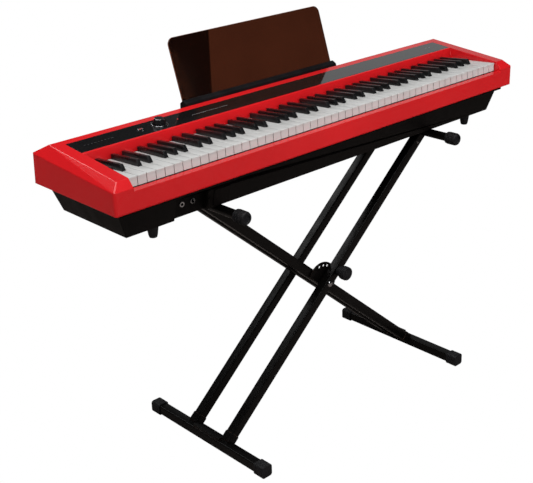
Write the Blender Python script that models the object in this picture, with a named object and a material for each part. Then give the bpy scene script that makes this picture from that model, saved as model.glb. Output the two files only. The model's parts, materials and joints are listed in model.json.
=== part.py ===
"""An 88-key digital piano resting on a folding, double-braced X stand.

World frame: metres, +Z up, floor at Z = 0, X = 0 in the middle of the piano, the player at -Y.
The piano is drawn in "keyboard coordinates": y back from the front edge of the white keys and
z up from their tops, which board() turns into world Y and Z.
"""
import math

import bmesh
import bpy
from mathutils import Vector

# ---------------------------------------------------------------- driving dimensions (metres)
FIT_GAP = 0.0003
KEY_PITCH = 0.0235
WHITE_KEYS = 52
KEYBOARD_HALF = KEY_PITCH * WHITE_KEYS / 2
KEY_TOP_HEIGHT = 0.798
KEY_FRONT_Y = -0.118

# upper case, keyboard coordinates
CASE_HALF = 0.662
CASE_FRONT = -0.021
CASE_BACK = 0.283
CASE_BOTTOM = -0.062
CASE_WALL = 0.003
RIDGE_HALF = 0.643
RIDGE_FRONT = (-0.005, 0.006)
RIDGE_BACK = (0.236, 0.0306)
SHOULDER_FRONT = -0.012
SHOULDER_BACK = (0.277, 0.008)
TOP_SLOPE = math.atan2(RIDGE_BACK[1] - RIDGE_FRONT[1], RIDGE_BACK[0] - RIDGE_FRONT[0])
WELL_HALF = KEYBOARD_HALF + 0.0015
LEDGE_Z = -0.019
WELL_FRONT = -0.0026
LEDGE_SKIRT_Z = -0.045
FLAP_TOP_Y = 0.1515
FLAP_FOOT = (0.149, -0.0048)
FLAP_WALL = 0.0026

# control strip, keyboard coordinates
PANEL_HALF = 0.614
PANEL_Y = (0.1565, 0.216)
PANEL_DEPTH = 0.002
PANEL_BED = 0.0052
PANEL_MID = (PANEL_Y[0] + PANEL_Y[1]) / 2
KNOB_X = -0.386
BUTTON_X = -0.4388
LED_X = -0.334
KNOB_RADIUS = 0.0155
KNOB_HEIGHT = 0.015
KNOB_FACES = 8
SHAFT_RADIUS = 0.003
SHAFT_HOLE = 0.0045
BUTTON_HALF = (0.0070, 0.0040)
LED_RADIUS = 0.0015

# lower case, keyboard coordinates
FLANGE_HALF = 0.641
FLANGE_Y = (-0.005, 0.270)
FLANGE_DEPTH = 0.013
BELLY_TOP_HALF = 0.638
BELLY_TOP_Y = (0.007, 0.264)
BELLY_HALF = 0.6145
BELLY_Y = (0.020, 0.256)
BELLY_BOTTOM = -0.132
JACK_BAY_X = (-0.488, -0.398)
JACK_BAY_DEPTH = 0.010
JACK_BAY_TOP = -0.076
JACK_X = (-0.458, -0.428)
JACK_Z = -0.105
JACK_BORE = 0.0032
JACK_RIM = 0.0062
JACK_LENGTH = 0.022
REAR_SOCKET_Z = -0.100
REAR_SOCKET_BACK = 0.261
RUBBER_FOOT_X = 0.535
RUBBER_FOOT_Y = (0.036, 0.232)
RUBBER_FOOT_HEIGHT = 0.026
SPEAKER_X = 0.44
SPEAKER_Y = (0.110, 0.175)
SPEAKER_SLOTS = 6
SPEAKER_SLOT_PITCH = 0.014

# music rest, keyboard coordinates
REST_HALF = 0.252
REST_HEIGHT = 0.151
REST_THICKNESS = 0.003
REST_FOOT = (0.270, 0.0333)
REST_LEAN = math.radians(17.5)
REST_SLOT_DEPTH = 0.012
REST_CORNER = 0.018
HOLDER_FRONT = 0.249
HOLDER_BACK = 0.276

# keys, keyboard coordinates
KEY_CLEARANCE = 0.001
WHITE_HEAD = 0.049
WHITE_DEPTH = 0.0208
KEY_BACK = 0.206
RAIL_FRONT = 0.195
BLACK_FRONT = 0.050
BLACK_WIDTH = 0.0095
BLACK_SLOT = 0.0111
BLACK_TOP = 0.0132
BLACK_FALL = 0.03
BLACK_END = 0.1477
NECK_END = 0.1585
NECK_TOP = -0.0005
TAIL_TOP = 0.0085
KEY_TILT = math.atan(0.06)
KEY_TILT_Y = 0.050
KEY_PIVOT = (0.212, -0.015)
BLACK_IN_OCTAVE = (0.02115, 0.04935, 0.09064, 0.1175, 0.14436)
BLACK_NAMES = ("cs", "ds", "fs", "gs", "as")
WHITE_NAMES = ("c", "d", "e", "f", "g", "a", "b")
FIRST_C = 2
MIDDLE_C = 23

# stand, world coordinates
STAND_X = 0.008
STAND_HALF_SPAN = 0.366
ARM_RADIUS = 0.011
ARM_Z = KEY_TOP_HEIGHT + BELLY_BOTTOM - ARM_RADIUS - FIT_GAP
FOOT_CAP = 0.032
FOOT_CAP_CORNER = 0.007
FOOT_Z = FOOT_CAP / 2
TUBE = 0.025
TUBE_WALL = 0.0015
TUBE_CORNER = 0.003
OUTER_Y = 0.062
INNER_Y = 0.030
FOOT_HALF_LENGTH = 0.216
ARM_HALF_LENGTH = 0.184
CAP_LENGTH = 0.032
CAP_FLATS = 20
ARM_CAP_RADIUS = 0.0165
DISC_RADIUS = 0.0505
DISC_HOLE_CIRCLE = 0.0415
DISC_HOLES = 4
DISC_STEP = math.radians(20.0)
DISC_THICKNESS = 0.004
DISC_GAP = 0.0022
LOCK_KNOB_LENGTH = 0.034
LOCK_KNOB_RADIUS = 0.0185
LOCK_PIN_RADIUS = 0.0035
LOCK_PIN_SHORT = 0.0007
BOLT_SHANK = 0.004
BOLT_HEAD = 0.008
BOLT_HEAD_LENGTH = 0.005
PIVOT = Vector((STAND_X, 0.0, (ARM_Z + FOOT_Z) / 2))
TUBE_ANGLE = math.atan2(ARM_Z - FOOT_Z, 2 * STAND_HALF_SPAN)
TUBE_REACH = math.hypot(ARM_Z - FOOT_Z, 2 * STAND_HALF_SPAN) / 2

FINISHES = {
    "red_lacquer": ((0.55, 0.015, 0.02), 0.25, 0.0),
    "black_plastic": ((0.02, 0.02, 0.022), 0.6, 0.0),
    "gloss_black": ((0.005, 0.005, 0.006), 0.08, 0.0),
    "smoked_acrylic": ((0.06, 0.02, 0.008), 0.08, 0.0),
    "key_white": ((0.78, 0.77, 0.74), 0.35, 0.0),
    "key_black": ((0.012, 0.012, 0.013), 0.45, 0.0),
    "black_rubber": ((0.02, 0.02, 0.02), 0.85, 0.0),
    "black_steel": ((0.015, 0.015, 0.016), 0.4, 0.6),
    "bright_steel": ((0.6, 0.6, 0.6), 0.25, 1.0),
    "circuit_board": ((0.01, 0.12, 0.04), 0.5, 0.0),
    "lamp_red": ((0.5, 0.02, 0.02), 0.3, 0.0),
}


# ---------------------------------------------------------------- helpers
def finish(name):
    material = bpy.data.materials.get(name)
    if material is None:
        colour, roughness, metallic = FINISHES[name]
        material = bpy.data.materials.new(name)
        material.use_nodes = True
        shader = material.node_tree.nodes["Principled BSDF"]
        shader.inputs["Base Color"].default_value = (*colour, 1.0)
        shader.inputs["Roughness"].default_value = roughness
        shader.inputs["Metallic"].default_value = metallic
    return material


def board(y, z):
    """World (Y, Z) of a point in keyboard coordinates."""
    return y + KEY_FRONT_Y, z + KEY_TOP_HEIGHT


def top_z(y):
    """Height of the sloping top deck in keyboard coordinates."""
    return RIDGE_FRONT[1] + (y - RIDGE_FRONT[0]) * math.tan(TOP_SLOPE)


def add_object(name, bm, material, origin=(0.0, 0.0, 0.0)):
    """Make an object from a bmesh drawn in world coordinates, with its own origin."""
    bmesh.ops.recalc_face_normals(bm, faces=bm.faces)
    bmesh.ops.translate(bm, verts=bm.verts, vec=-Vector(origin))
    mesh = bpy.data.meshes.new(name)
    bm.to_mesh(mesh)
    bm.free()
    obj = bpy.data.objects.new(name, mesh)
    obj.location = origin
    mesh.materials.append(finish(material))
    bpy.context.scene.collection.objects.link(obj)
    return obj


def shade_round(obj, degrees=35.0):
    obj.data.shade_smooth()
    obj.data.set_sharp_from_angle(angle=math.radians(degrees))
    return obj


def cut(obj, cutters, operation="DIFFERENCE"):
    """Add Boolean modifiers; each cutter is a bmesh in world coordinates or a ready object."""
    for number, cutter in enumerate(cutters):
        if not isinstance(cutter, bpy.types.Object):
            cutter = add_object(f"cutter_{obj.name}_{operation[:3].lower()}_{number}", cutter, "black_plastic")
        cutter.hide_render = True
        cutter.display_type = "WIRE"
        modifier = obj.modifiers.new(cutter.name, "BOOLEAN")
        modifier.operation = operation
        modifier.solver = "EXACT"
        modifier.object = cutter
    return obj


def hull(points):
    bm = bmesh.new()
    for point in points:
        bm.verts.new(point)
    bmesh.ops.convex_hull(bm, input=bm.verts)
    bmesh.ops.dissolve_limit(bm, angle_limit=math.radians(0.5), verts=bm.verts, edges=bm.edges)
    return bm


def box(low, high):
    return hull([(x, y, z) for x in (low[0], high[0]) for y in (low[1], high[1]) for z in (low[2], high[2])])


def prism(outline, place, low, high):
    """Extrude a closed outline; place(a, b, t) turns outline a, b and the travel t into a point."""
    bm = bmesh.new()
    first = [bm.verts.new(place(a, b, low)) for a, b in outline]
    last = [bm.verts.new(place(a, b, high)) for a, b in outline]
    bm.faces.new(first)
    bm.faces.new(last)
    count = len(outline)
    for index in range(count):
        following = (index + 1) % count
        bm.faces.new((first[index], first[following], last[following], last[index]))
    return bm


def along_x(y, z, x):
    return (x, *board(y, z))


def case_prism(outline, low, high):
    """A prism along X from an outline in keyboard coordinates."""
    return prism(outline, along_x, low, high)


def turned(profile, start, axis, segments):
    """Turn (distance along the axis, radius) points about an axis; zero radii close the ends."""
    axis = Vector(axis).normalized()
    turn = Vector((0, 0, 1)).rotation_difference(axis).to_matrix()
    bm = bmesh.new()
    rings = []
    for along, radius in profile:
        if radius == 0.0:
            rings.append([bm.verts.new(Vector(start) + axis * along)])
            continue
        ring = []
        for step in range(segments):
            angle = 2 * math.pi * (step + 0.5) / segments
            spoke = turn @ Vector((math.cos(angle), math.sin(angle), 0)) * radius
            ring.append(bm.verts.new(Vector(start) + axis * along + spoke))
        rings.append(ring)
    for near, far in zip(rings, rings[1:]):
        for step in range(segments):
            after = (step + 1) % segments
            if len(near) == 1:
                bm.faces.new((near[0], far[step], far[after]))
            elif len(far) == 1:
                bm.faces.new((near[step], near[after], far[0]))
            else:
                bm.faces.new((near[step], near[after], far[after], far[step]))
    return bm


def rod(start, axis, length, radius, segments=16):
    return turned([(0, 0.0), (0, radius), (length, radius), (length, 0.0)], start, axis, segments)


def rounded_square(size, radius, steps=2):
    """Outline of a square tube section with rounded corners."""
    half = size / 2 - radius
    points = []
    for corner, (sx, sy) in enumerate(((1, 1), (-1, 1), (-1, -1), (1, -1))):
        for step in range(steps + 1):
            angle = math.pi / 2 * (corner + step / steps)
            points.append((sx * half + radius * math.cos(angle), sy * half + radius * math.sin(angle)))
    return points


# ---------------------------------------------------------------- upper case
def case_points(inset, drop=0.0):
    """The twelve corners of the upper case, moved inwards by inset, open downwards by drop."""
    points = []
    for side in (-1, 1):
        wall = side * (CASE_HALF - inset)
        ridge = side * (RIDGE_HALF - inset * 0.7)
        corners = (
            (wall, CASE_FRONT + inset, CASE_BOTTOM - drop),
            (wall, CASE_BACK - inset, CASE_BOTTOM - drop),
            (wall, CASE_FRONT + inset, SHOULDER_FRONT - inset * 0.4),
            (wall, SHOULDER_BACK[0] - inset, SHOULDER_BACK[1] - inset * 0.4),
            (ridge, RIDGE_FRONT[0] + inset * 0.7, RIDGE_FRONT[1] - inset),
            (ridge, RIDGE_BACK[0] - inset * 0.7, RIDGE_BACK[1] - inset),
        )
        points += [(x, *board(y, z)) for x, y, z in corners]
    return points


def panel_slab(half, y_range, low, high):
    """A slab whose faces lie parallel to the top deck, between two depths below it."""
    outline = [
        (y_range[0], top_z(y_range[0]) + low),
        (y_range[1], top_z(y_range[1]) + low),
        (y_range[1], top_z(y_range[1]) + high),
        (y_range[0], top_z(y_range[0]) + high),
    ]
    return case_prism(outline, -half, half)


def deck_frame(x, y, lift=0.0):
    """A point on the top deck and the deck's own up direction."""
    up = Vector((0, -math.sin(TOP_SLOPE), math.cos(TOP_SLOPE)))
    return Vector((x, *board(y, top_z(y)))) + up * lift, up


def make_upper_case():
    shell = add_object("upper_case", hull(case_points(0.0)), "red_lacquer")
    core = add_object("cutter_case_core", hull(case_points(CASE_WALL, 0.02)), "black_plastic")
    over = 0.01
    ledge = case_prism(
        [
            (CASE_FRONT - over, LEDGE_Z - CASE_WALL),
            (WELL_FRONT - CASE_WALL, LEDGE_Z - CASE_WALL),
            (WELL_FRONT - CASE_WALL, LEDGE_SKIRT_Z),
            (WELL_FRONT, LEDGE_SKIRT_Z),
            (WELL_FRONT, LEDGE_Z + 5 * over),
            (CASE_FRONT - over, LEDGE_Z + 5 * over),
        ],
        -WELL_HALF - CASE_WALL,
        WELL_HALF + CASE_WALL,
    )
    flap_top = top_z(FLAP_TOP_Y)
    flap = case_prism(
        [
            FLAP_FOOT,
            (FLAP_TOP_Y, flap_top + over),
            (PANEL_Y[0] + CASE_WALL, flap_top + over),
            (PANEL_Y[0] + CASE_WALL, flap_top - PANEL_BED),
            (FLAP_TOP_Y + FLAP_WALL, flap_top - PANEL_BED),
            (FLAP_FOOT[0] + FLAP_WALL, FLAP_FOOT[1]),
        ],
        -WELL_HALF - CASE_WALL,
        WELL_HALF + CASE_WALL,
    )
    seat_y = (PANEL_Y[0] - CASE_WALL, PANEL_Y[1] + CASE_WALL)
    seat = panel_slab(PANEL_HALF + CASE_WALL, seat_y, -PANEL_BED, over)
    cheeks = []
    for inner in (-WELL_HALF - CASE_WALL, WELL_HALF):
        low = (inner, *board(CASE_FRONT - over, LEDGE_SKIRT_Z))
        high = (inner + CASE_WALL, *board(FLAP_TOP_Y + over, RIDGE_BACK[1] + over))
        cheeks.append(box(low, high))
    cut(core, [ledge, flap, seat, *cheeks])
    above = 2 * RIDGE_BACK[1]
    below = 1.5 * CASE_BOTTOM
    well = case_prism(
        [
            (2 * CASE_FRONT, LEDGE_Z),
            (WELL_FRONT, LEDGE_Z),
            (WELL_FRONT, below),
            (FLAP_FOOT[0], below),
            FLAP_FOOT,
            (FLAP_TOP_Y, flap_top),
            (FLAP_TOP_Y, above),
            (2 * CASE_FRONT, above),
        ],
        -WELL_HALF,
        WELL_HALF,
    )
    recess_y = (PANEL_Y[0] - FIT_GAP, PANEL_Y[1] + FIT_GAP)
    recess = panel_slab(PANEL_HALF + FIT_GAP, recess_y, -PANEL_DEPTH, above)
    holes = strip_holes(0.0005)
    cut(shell, [core, well, recess, *holes])


def strip_holes(extra):
    """Cutters through the deck for the knob's shaft, the lamp and the button."""
    depth = 0.02
    start, up = deck_frame(KNOB_X, PANEL_MID, -depth)
    shaft = rod(start, up, 2 * depth, SHAFT_HOLE, 12)
    start, up = deck_frame(LED_X, PANEL_MID, -depth)
    lamp = rod(start, up, 2 * depth, LED_RADIUS + FIT_GAP + extra, 8)
    button = deck_block(
        BUTTON_X, BUTTON_HALF[0] + FIT_GAP + extra, BUTTON_HALF[1] + FIT_GAP + extra, -depth, depth
    )
    return [shaft, lamp, button]


def deck_block(x, half_x, half_y, low, high):
    """A block standing square to the top deck on the control strip's middle line."""
    centre, up = deck_frame(x, PANEL_MID)
    back = Vector((0, math.cos(TOP_SLOPE), math.sin(TOP_SLOPE)))
    return hull(
        [
            centre + Vector((sx * half_x, 0, 0)) + back * sy * half_y + up * lift
            for sx in (-1, 1)
            for sy in (-1, 1)
            for lift in (low, high)
        ]
    )


def make_control_strip():
    strip = add_object(
        "control_panel",
        panel_slab(PANEL_HALF, PANEL_Y, -PANEL_DEPTH + FIT_GAP, 0.0),
        "gloss_black",
    )
    cut(strip, strip_holes(0.0))

    shaft = 0.0055
    skirt = shaft + 0.0006
    start, up = deck_frame(KNOB_X, PANEL_MID, -shaft)
    profile = [
        (0.0, 0.0),
        (0.0, SHAFT_RADIUS),
        (skirt, SHAFT_RADIUS),
        (skirt, KNOB_RADIUS),
        (shaft + KNOB_HEIGHT * 0.35, KNOB_RADIUS),
        (shaft + KNOB_HEIGHT, KNOB_RADIUS * 0.78),
        (shaft + KNOB_HEIGHT, 0.0),
    ]
    add_object("volume_knob", turned(profile, start, up, KNOB_FACES), "gloss_black", start)
    button = deck_block(BUTTON_X, *BUTTON_HALF, -0.009, 0.0016)
    add_object("power_button", button, "bright_steel", deck_frame(BUTTON_X, PANEL_MID)[0])
    start, up = deck_frame(LED_X, PANEL_MID, -0.006)
    add_object("status_led", rod(start, up, 0.0064, LED_RADIUS, 8), "lamp_red")
    pot_depth = 0.0122
    pot_height = 0.0062
    start = deck_frame(KNOB_X, PANEL_MID, -pot_depth)[0]
    add_object("volume_pot", rod(start, up, pot_height, 0.008, 12), "bright_steel")


# ---------------------------------------------------------------- music rest
def rest_point(across, along, depth):
    """A point on the leaning rest: across in X, along up its slope, depth through its thickness."""
    y = REST_FOOT[0] + along * math.sin(REST_LEAN) + depth * math.cos(REST_LEAN)
    z = REST_FOOT[1] + along * math.cos(REST_LEAN) - depth * math.sin(REST_LEAN)
    return (across, *board(y, z))


def make_music_rest():
    corner = REST_CORNER
    outline = [(-REST_HALF, -REST_SLOT_DEPTH + 0.001), (REST_HALF, -REST_SLOT_DEPTH + 0.001)]
    for side, start in ((1, 0.0), (-1, math.pi / 2)):
        for step in range(5):
            angle = start + math.pi / 2 * step / 4
            outline.append(
                (
                    side * (REST_HALF - corner) + corner * math.cos(angle),
                    REST_HEIGHT - corner + corner * math.sin(angle),
                )
            )
    half = REST_THICKNESS / 2
    add_object("music_rest", prism(outline, rest_point, -half, half), "smoked_acrylic",
               rest_point(0.0, 0.0, 0.0))
    slot = half + FIT_GAP
    fall = (SHOULDER_BACK[1] - RIDGE_BACK[1]) / (SHOULDER_BACK[0] - RIDGE_BACK[0])

    def on_back(y):
        return (y, RIDGE_BACK[1] + (y - RIDGE_BACK[0]) * fall + FIT_GAP)

    def in_slot(along, depth):
        x, y, z = rest_point(0.0, along, depth)
        return (y - KEY_FRONT_Y, z - KEY_TOP_HEIGHT)

    lip = 0.006
    outline = [
        on_back(HOLDER_FRONT),
        on_back(HOLDER_BACK - 0.002),
        (HOLDER_BACK, 0.0125),
        (HOLDER_BACK, 0.0285),
        in_slot(-0.002, slot + 0.002),
        in_slot(0.0, slot),
        in_slot(-REST_SLOT_DEPTH, slot),
        in_slot(-REST_SLOT_DEPTH, -slot),
        in_slot(0.002, -slot),
        in_slot(0.002, -slot - lip),
        (HOLDER_FRONT + 0.003, 0.0320),
    ]
    reach = REST_HALF + 0.003
    add_object("rest_holder", case_prism(outline, -reach, reach), "black_plastic")


# ---------------------------------------------------------------- lower case and what it holds
def belly_points(inset, rise=0.0):
    points = []
    for side in (-1, 1):
        for y in (BELLY_TOP_Y[0] + inset, BELLY_TOP_Y[1] - inset):
            points.append((side * (BELLY_TOP_HALF - inset), *board(y, CASE_BOTTOM - FLANGE_DEPTH + rise)))
        for y in (BELLY_Y[0] + inset, BELLY_Y[1] - inset):
            points.append((side * (BELLY_HALF - inset), *board(y, BELLY_BOTTOM + inset)))
    return points


def make_lower_case():
    flange = add_object(
        "lower_case",
        box(
            (-FLANGE_HALF, *board(FLANGE_Y[0], CASE_BOTTOM - FLANGE_DEPTH)),
            (FLANGE_HALF, *board(FLANGE_Y[1], CASE_BOTTOM - FIT_GAP)),
        ),
        "black_plastic",
    )
    cut(flange, [hull(belly_points(0.0, 0.004))], "UNION")
    core = add_object("cutter_lower_core", hull(belly_points(CASE_WALL, 0.06)), "black_plastic")
    face = BELLY_Y[0] + JACK_BAY_DEPTH
    over = 0.01
    bay = box(
        (JACK_BAY_X[0] - CASE_WALL, *board(CASE_FRONT, BELLY_BOTTOM - over)),
        (JACK_BAY_X[1] + CASE_WALL, *board(face + CASE_WALL, JACK_BAY_TOP + CASE_WALL)),
    )
    cut(core, [bay])
    bay_cut = box(
        (JACK_BAY_X[0], *board(CASE_FRONT, BELLY_BOTTOM - over)),
        (JACK_BAY_X[1], *board(face, JACK_BAY_TOP)),
    )
    cutters = [core, bay_cut]
    for x in JACK_X:
        cutters.append(rod((x, *board(0.0, JACK_Z)), (0, 1, 0), 0.06, 0.0052, 12))
    for _, x, half, _ in REAR_SOCKETS:
        window = half + FIT_GAP
        low = (x - window, *board(BELLY_Y[1] - 0.016, REAR_SOCKET_Z - 0.006))
        high = (x + window, *board(BELLY_TOP_Y[1] + 0.036, REAR_SOCKET_Z + 0.006))
        cutters.append(box(low, high))
    for side in (-1, 1):
        for number in range(SPEAKER_SLOTS):
            x = side * SPEAKER_X + (number - (SPEAKER_SLOTS - 1) / 2) * SPEAKER_SLOT_PITCH
            low = (x - 0.0015, *board(SPEAKER_Y[0], BELLY_BOTTOM - over))
            high = (x + 0.0015, *board(SPEAKER_Y[1], BELLY_BOTTOM + over))
            cutters.append(box(low, high))
    cut(flange, cutters)


def make_jacks():
    rim_length = 0.0015
    profile = [
        (0.016, 0.0),
        (0.016, JACK_BORE),
        (0.0, JACK_BORE),
        (0.0, JACK_RIM),
        (rim_length, JACK_RIM),
        (rim_length, 0.0048),
        (JACK_LENGTH, 0.0048),
        (JACK_LENGTH, 0.0),
    ]
    for name, x in zip(("headphone_jack_left", "headphone_jack_right"), JACK_X):
        start = (x, *board(BELLY_Y[0] + JACK_BAY_DEPTH - rim_length - FIT_GAP, JACK_Z))
        add_object(name, turned(profile, start, (0, 1, 0), 12), "bright_steel")


# name, X of the middle, half width of the body, radius of a round opening or None for a flat one
REAR_SOCKETS = (
    ("power_inlet", 0.146, 0.0057, 0.0019),
    ("usb_port", 0.0665, 0.0062, None),
    ("pedal_jack", -0.004, 0.0077, 0.0032),
)


def make_rear_sockets():
    half_height = 0.0055
    opening_depth = 0.012
    for name, x, half, radius in REAR_SOCKETS:
        low = (x - half, *board(REAR_SOCKET_BACK - 0.017, REAR_SOCKET_Z - half_height))
        high = (x + half, *board(REAR_SOCKET_BACK, REAR_SOCKET_Z + half_height))
        shell = add_object(name, box(low, high), "black_plastic")
        if radius is None:
            low = (x - 0.0042, *board(REAR_SOCKET_BACK - opening_depth, REAR_SOCKET_Z - 0.0019))
            high = (x + 0.0042, *board(REAR_SOCKET_BACK + opening_depth, REAR_SOCKET_Z + 0.0019))
            opening = box(low, high)
        else:
            start = (x, *board(REAR_SOCKET_BACK - opening_depth, REAR_SOCKET_Z))
            opening = rod(start, (0, 1, 0), 2 * opening_depth, radius, 12)
        cut(shell, [opening])


def make_rubber_feet():
    tall = RUBBER_FOOT_HEIGHT
    profile = [(0, 0.0), (0, 0.0138), (tall * 0.77, 0.0105), (tall, 0.0088), (tall, 0.0)]
    for depth_name, y in zip(("front", "back"), RUBBER_FOOT_Y):
        for side_name, side in (("left", -1), ("right", 1)):
            start = (side * RUBBER_FOOT_X, *board(y, BELLY_BOTTOM - FIT_GAP))
            name = f"rubber_foot_{depth_name}_{side_name}"
            shade_round(add_object(name, turned(profile, start, (0, 0, -1), 16), "black_rubber"))


def make_works():
    outline = [
        (0.016, -0.030),
        (0.018, -0.030),
        (0.018, -0.042),
        (0.226, -0.042),
        (0.226, 0.010),
        (0.228, 0.010),
        (0.228, -0.044),
        (0.016, -0.044),
    ]
    half = KEYBOARD_HALF - 0.002
    board_thickness = 0.0016
    add_object("key_frame", case_prism(outline, -half, half), "bright_steel")
    start = (-half, *board(0.2165, KEY_PIVOT[1]))
    add_object("key_pivot_rod", rod(start, (1, 0, 0), 2 * half, 0.002, 8), "bright_steel")
    low = (-half + 0.005, *board(0.060, -0.0385))
    high = (half - 0.005, *board(0.105, -0.0385 + board_thickness))
    add_object("sensor_board", box(low, high), "circuit_board")
    low = (-0.150, *board(0.130, -0.118))
    high = (0.170, *board(0.235, -0.118 + board_thickness))
    add_object("main_board", box(low, high), "circuit_board")
    for side_name, side in (("left", -1), ("right", 1)):
        start = (side * SPEAKER_X, *board(sum(SPEAKER_Y) / 2, BELLY_BOTTOM + CASE_WALL + FIT_GAP))
        profile = [(0, 0.0), (0, 0.045), (0.004, 0.045), (0.020, 0.024), (0.036, 0.024), (0.036, 0.0)]
        speaker = add_object(f"speaker_{side_name}", turned(profile, start, (0, 0, 1), 16), "black_plastic")
        shade_round(speaker)


# ---------------------------------------------------------------- keys
def octave_of(white):
    """Octave start (its C key's number) and place in the octave of a white key."""
    place = (white - FIRST_C) % 7
    return white - place, place


def white_left(white):
    return -KEYBOARD_HALF + white * KEY_PITCH


def black_centres(first, last):
    """Centres of the black keys that lie between white keys first and last, with their names."""
    found = []
    for c_key in range(FIRST_C - 7, WHITE_KEYS, 7):
        for name, offset in zip(BLACK_NAMES, BLACK_IN_OCTAVE):
            centre = white_left(c_key) + offset
            inside = white_left(first) < centre < white_left(last) + KEY_PITCH
            if inside and -KEYBOARD_HALF < centre < KEYBOARD_HALF - KEY_PITCH:
                found.append((centre, name))
    return found


def white_edges(white):
    """Left and right edges of the head and of the narrow tail of one white key."""
    left = white_left(white) + KEY_CLEARANCE / 2
    right = white_left(white) + KEY_PITCH - KEY_CLEARANCE / 2
    tail_left, tail_right = left, right
    for centre, _ in black_centres(max(white - 1, 0), min(white + 1, WHITE_KEYS - 1)):
        if abs(centre - white_left(white)) < KEY_PITCH / 2:
            tail_left = max(tail_left, centre + BLACK_SLOT / 2)
        if abs(centre - white_left(white) - KEY_PITCH) < KEY_PITCH / 2:
            tail_right = min(tail_right, centre - BLACK_SLOT / 2)
    return left, right, tail_left, tail_right


def white_finger(white, back):
    """Outline of one white key seen from above, from its right tail round to its left tail."""
    left, right, tail_left, tail_right = white_edges(white)
    points = [(tail_right, back)]
    if tail_right < right:
        points += [(tail_right, WHITE_HEAD), (right, WHITE_HEAD)]
    points += [(right, 0.0), (left, 0.0)]
    if tail_left > left:
        points += [(left, WHITE_HEAD), (tail_left, WHITE_HEAD)]
    points.append((tail_left, back))
    return points


def tilted(y, z):
    """Keyboard coordinates of a point given in the plane of the key tops, which falls to the back."""
    run = y - KEY_TILT_Y
    along, across = math.cos(KEY_TILT), math.sin(KEY_TILT)
    return KEY_TILT_Y + run * along + z * across, z * along - run * across


def from_above(x, y, z):
    return (x, *board(*tilted(y, z)))


PIVOT_YZ = board(*KEY_PIVOT)


def key_origin(x):
    return (x, *PIVOT_YZ)


def make_white_bank(name, first, last):
    outline = [(white_left(first) + 0.0008, KEY_BACK), (white_left(last) + KEY_PITCH - 0.0008, KEY_BACK)]
    for white in range(last, first - 1, -1):
        outline += white_finger(white, RAIL_FRONT)
    middle = (white_left(first) + white_left(last) + KEY_PITCH) / 2
    add_object(name, prism(outline, from_above, -WHITE_DEPTH, 0.0), "key_white", key_origin(middle))


def make_white_key(white, name):
    outline = white_finger(white, KEY_BACK)
    middle = white_left(white) + KEY_PITCH / 2
    add_object(name, prism(outline, from_above, -WHITE_DEPTH, 0.0), "key_white", key_origin(middle))


def black_bar(centre, back):
    """One black key: sloped front, top falling to the back, low neck under the flap, tail behind."""
    crest = BLACK_FRONT + 0.007
    rail = RAIL_FRONT - 0.012
    outline = [
        (BLACK_FRONT + 0.001, -0.014),
        (BLACK_FRONT, 0.0005),
        (crest, BLACK_TOP),
        (BLACK_END, BLACK_TOP - (BLACK_END - crest) * BLACK_FALL),
        (BLACK_END, NECK_TOP),
        (NECK_END, NECK_TOP),
        (NECK_END + 0.003, TAIL_TOP),
        (back, TAIL_TOP),
        (back, 0.0025),
        (rail, 0.0025),
        (rail, -0.014),
    ]
    half = BLACK_WIDTH / 2
    narrowing = 0.0007
    bm = bmesh.new()
    sides = []
    for side in (-1, 1):
        ring = []
        for y, z in outline:
            width = half - narrowing if z > BLACK_TOP / 2 and y < NECK_END else half
            ring.append(bm.verts.new(from_above(centre + side * width, y, z)))
        bm.faces.new(ring)
        sides.append(ring)
    for index in range(len(outline)):
        after = (index + 1) % len(outline)
        bm.faces.new((sides[0][index], sides[0][after], sides[1][after], sides[1][index]))
    return bm


def make_black_bank(name, first, last):
    centres = [centre for centre, _ in black_centres(first, last)]
    outline = [
        (RAIL_FRONT - 0.002, 0.0028),
        (KEY_BACK, 0.0028),
        (KEY_BACK, 0.0080),
        (RAIL_FRONT - 0.002, 0.0080),
    ]
    rail = prism(outline, lambda y, z, x: from_above(x, y, z), centres[0] - 0.004, centres[-1] + 0.004)
    middle = (centres[0] + centres[-1]) / 2
    bank = add_object(name, rail, "key_black", key_origin(middle))
    bars = bmesh.new()
    for centre in centres:
        piece = black_bar(centre, KEY_BACK - 0.001)
        mesh = bpy.data.meshes.new("bar")
        bmesh.ops.recalc_face_normals(piece, faces=piece.faces)
        piece.to_mesh(mesh)
        piece.free()
        bars.from_mesh(mesh)
        bpy.data.meshes.remove(mesh)
    cut(bank, [bars], "UNION")


def make_keys():
    octave_last = MIDDLE_C + 6
    make_white_bank("white_keys_bass", 0, MIDDLE_C - 1)
    make_white_bank("white_keys_treble", octave_last + 1, WHITE_KEYS - 1)
    make_black_bank("black_keys_bass", 0, MIDDLE_C - 1)
    make_black_bank("black_keys_treble", octave_last + 1, WHITE_KEYS - 1)
    for place, letter in enumerate(WHITE_NAMES):
        make_white_key(MIDDLE_C + place, f"key_{letter}4")
    for centre, letter in black_centres(MIDDLE_C, octave_last):
        add_object(f"key_{letter}4", black_bar(centre, KEY_BACK), "key_black", key_origin(centre))


# ---------------------------------------------------------------- stand
def tube_frame(rising):
    """Direction of a stand tube and its upward normal in the XZ plane."""
    sign = 1 if rising else -1
    along = Vector((math.cos(TUBE_ANGLE), 0, sign * math.sin(TUBE_ANGLE)))
    normal = Vector((-sign * math.sin(TUBE_ANGLE), 0, math.cos(TUBE_ANGLE)))
    return along, normal


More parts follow.
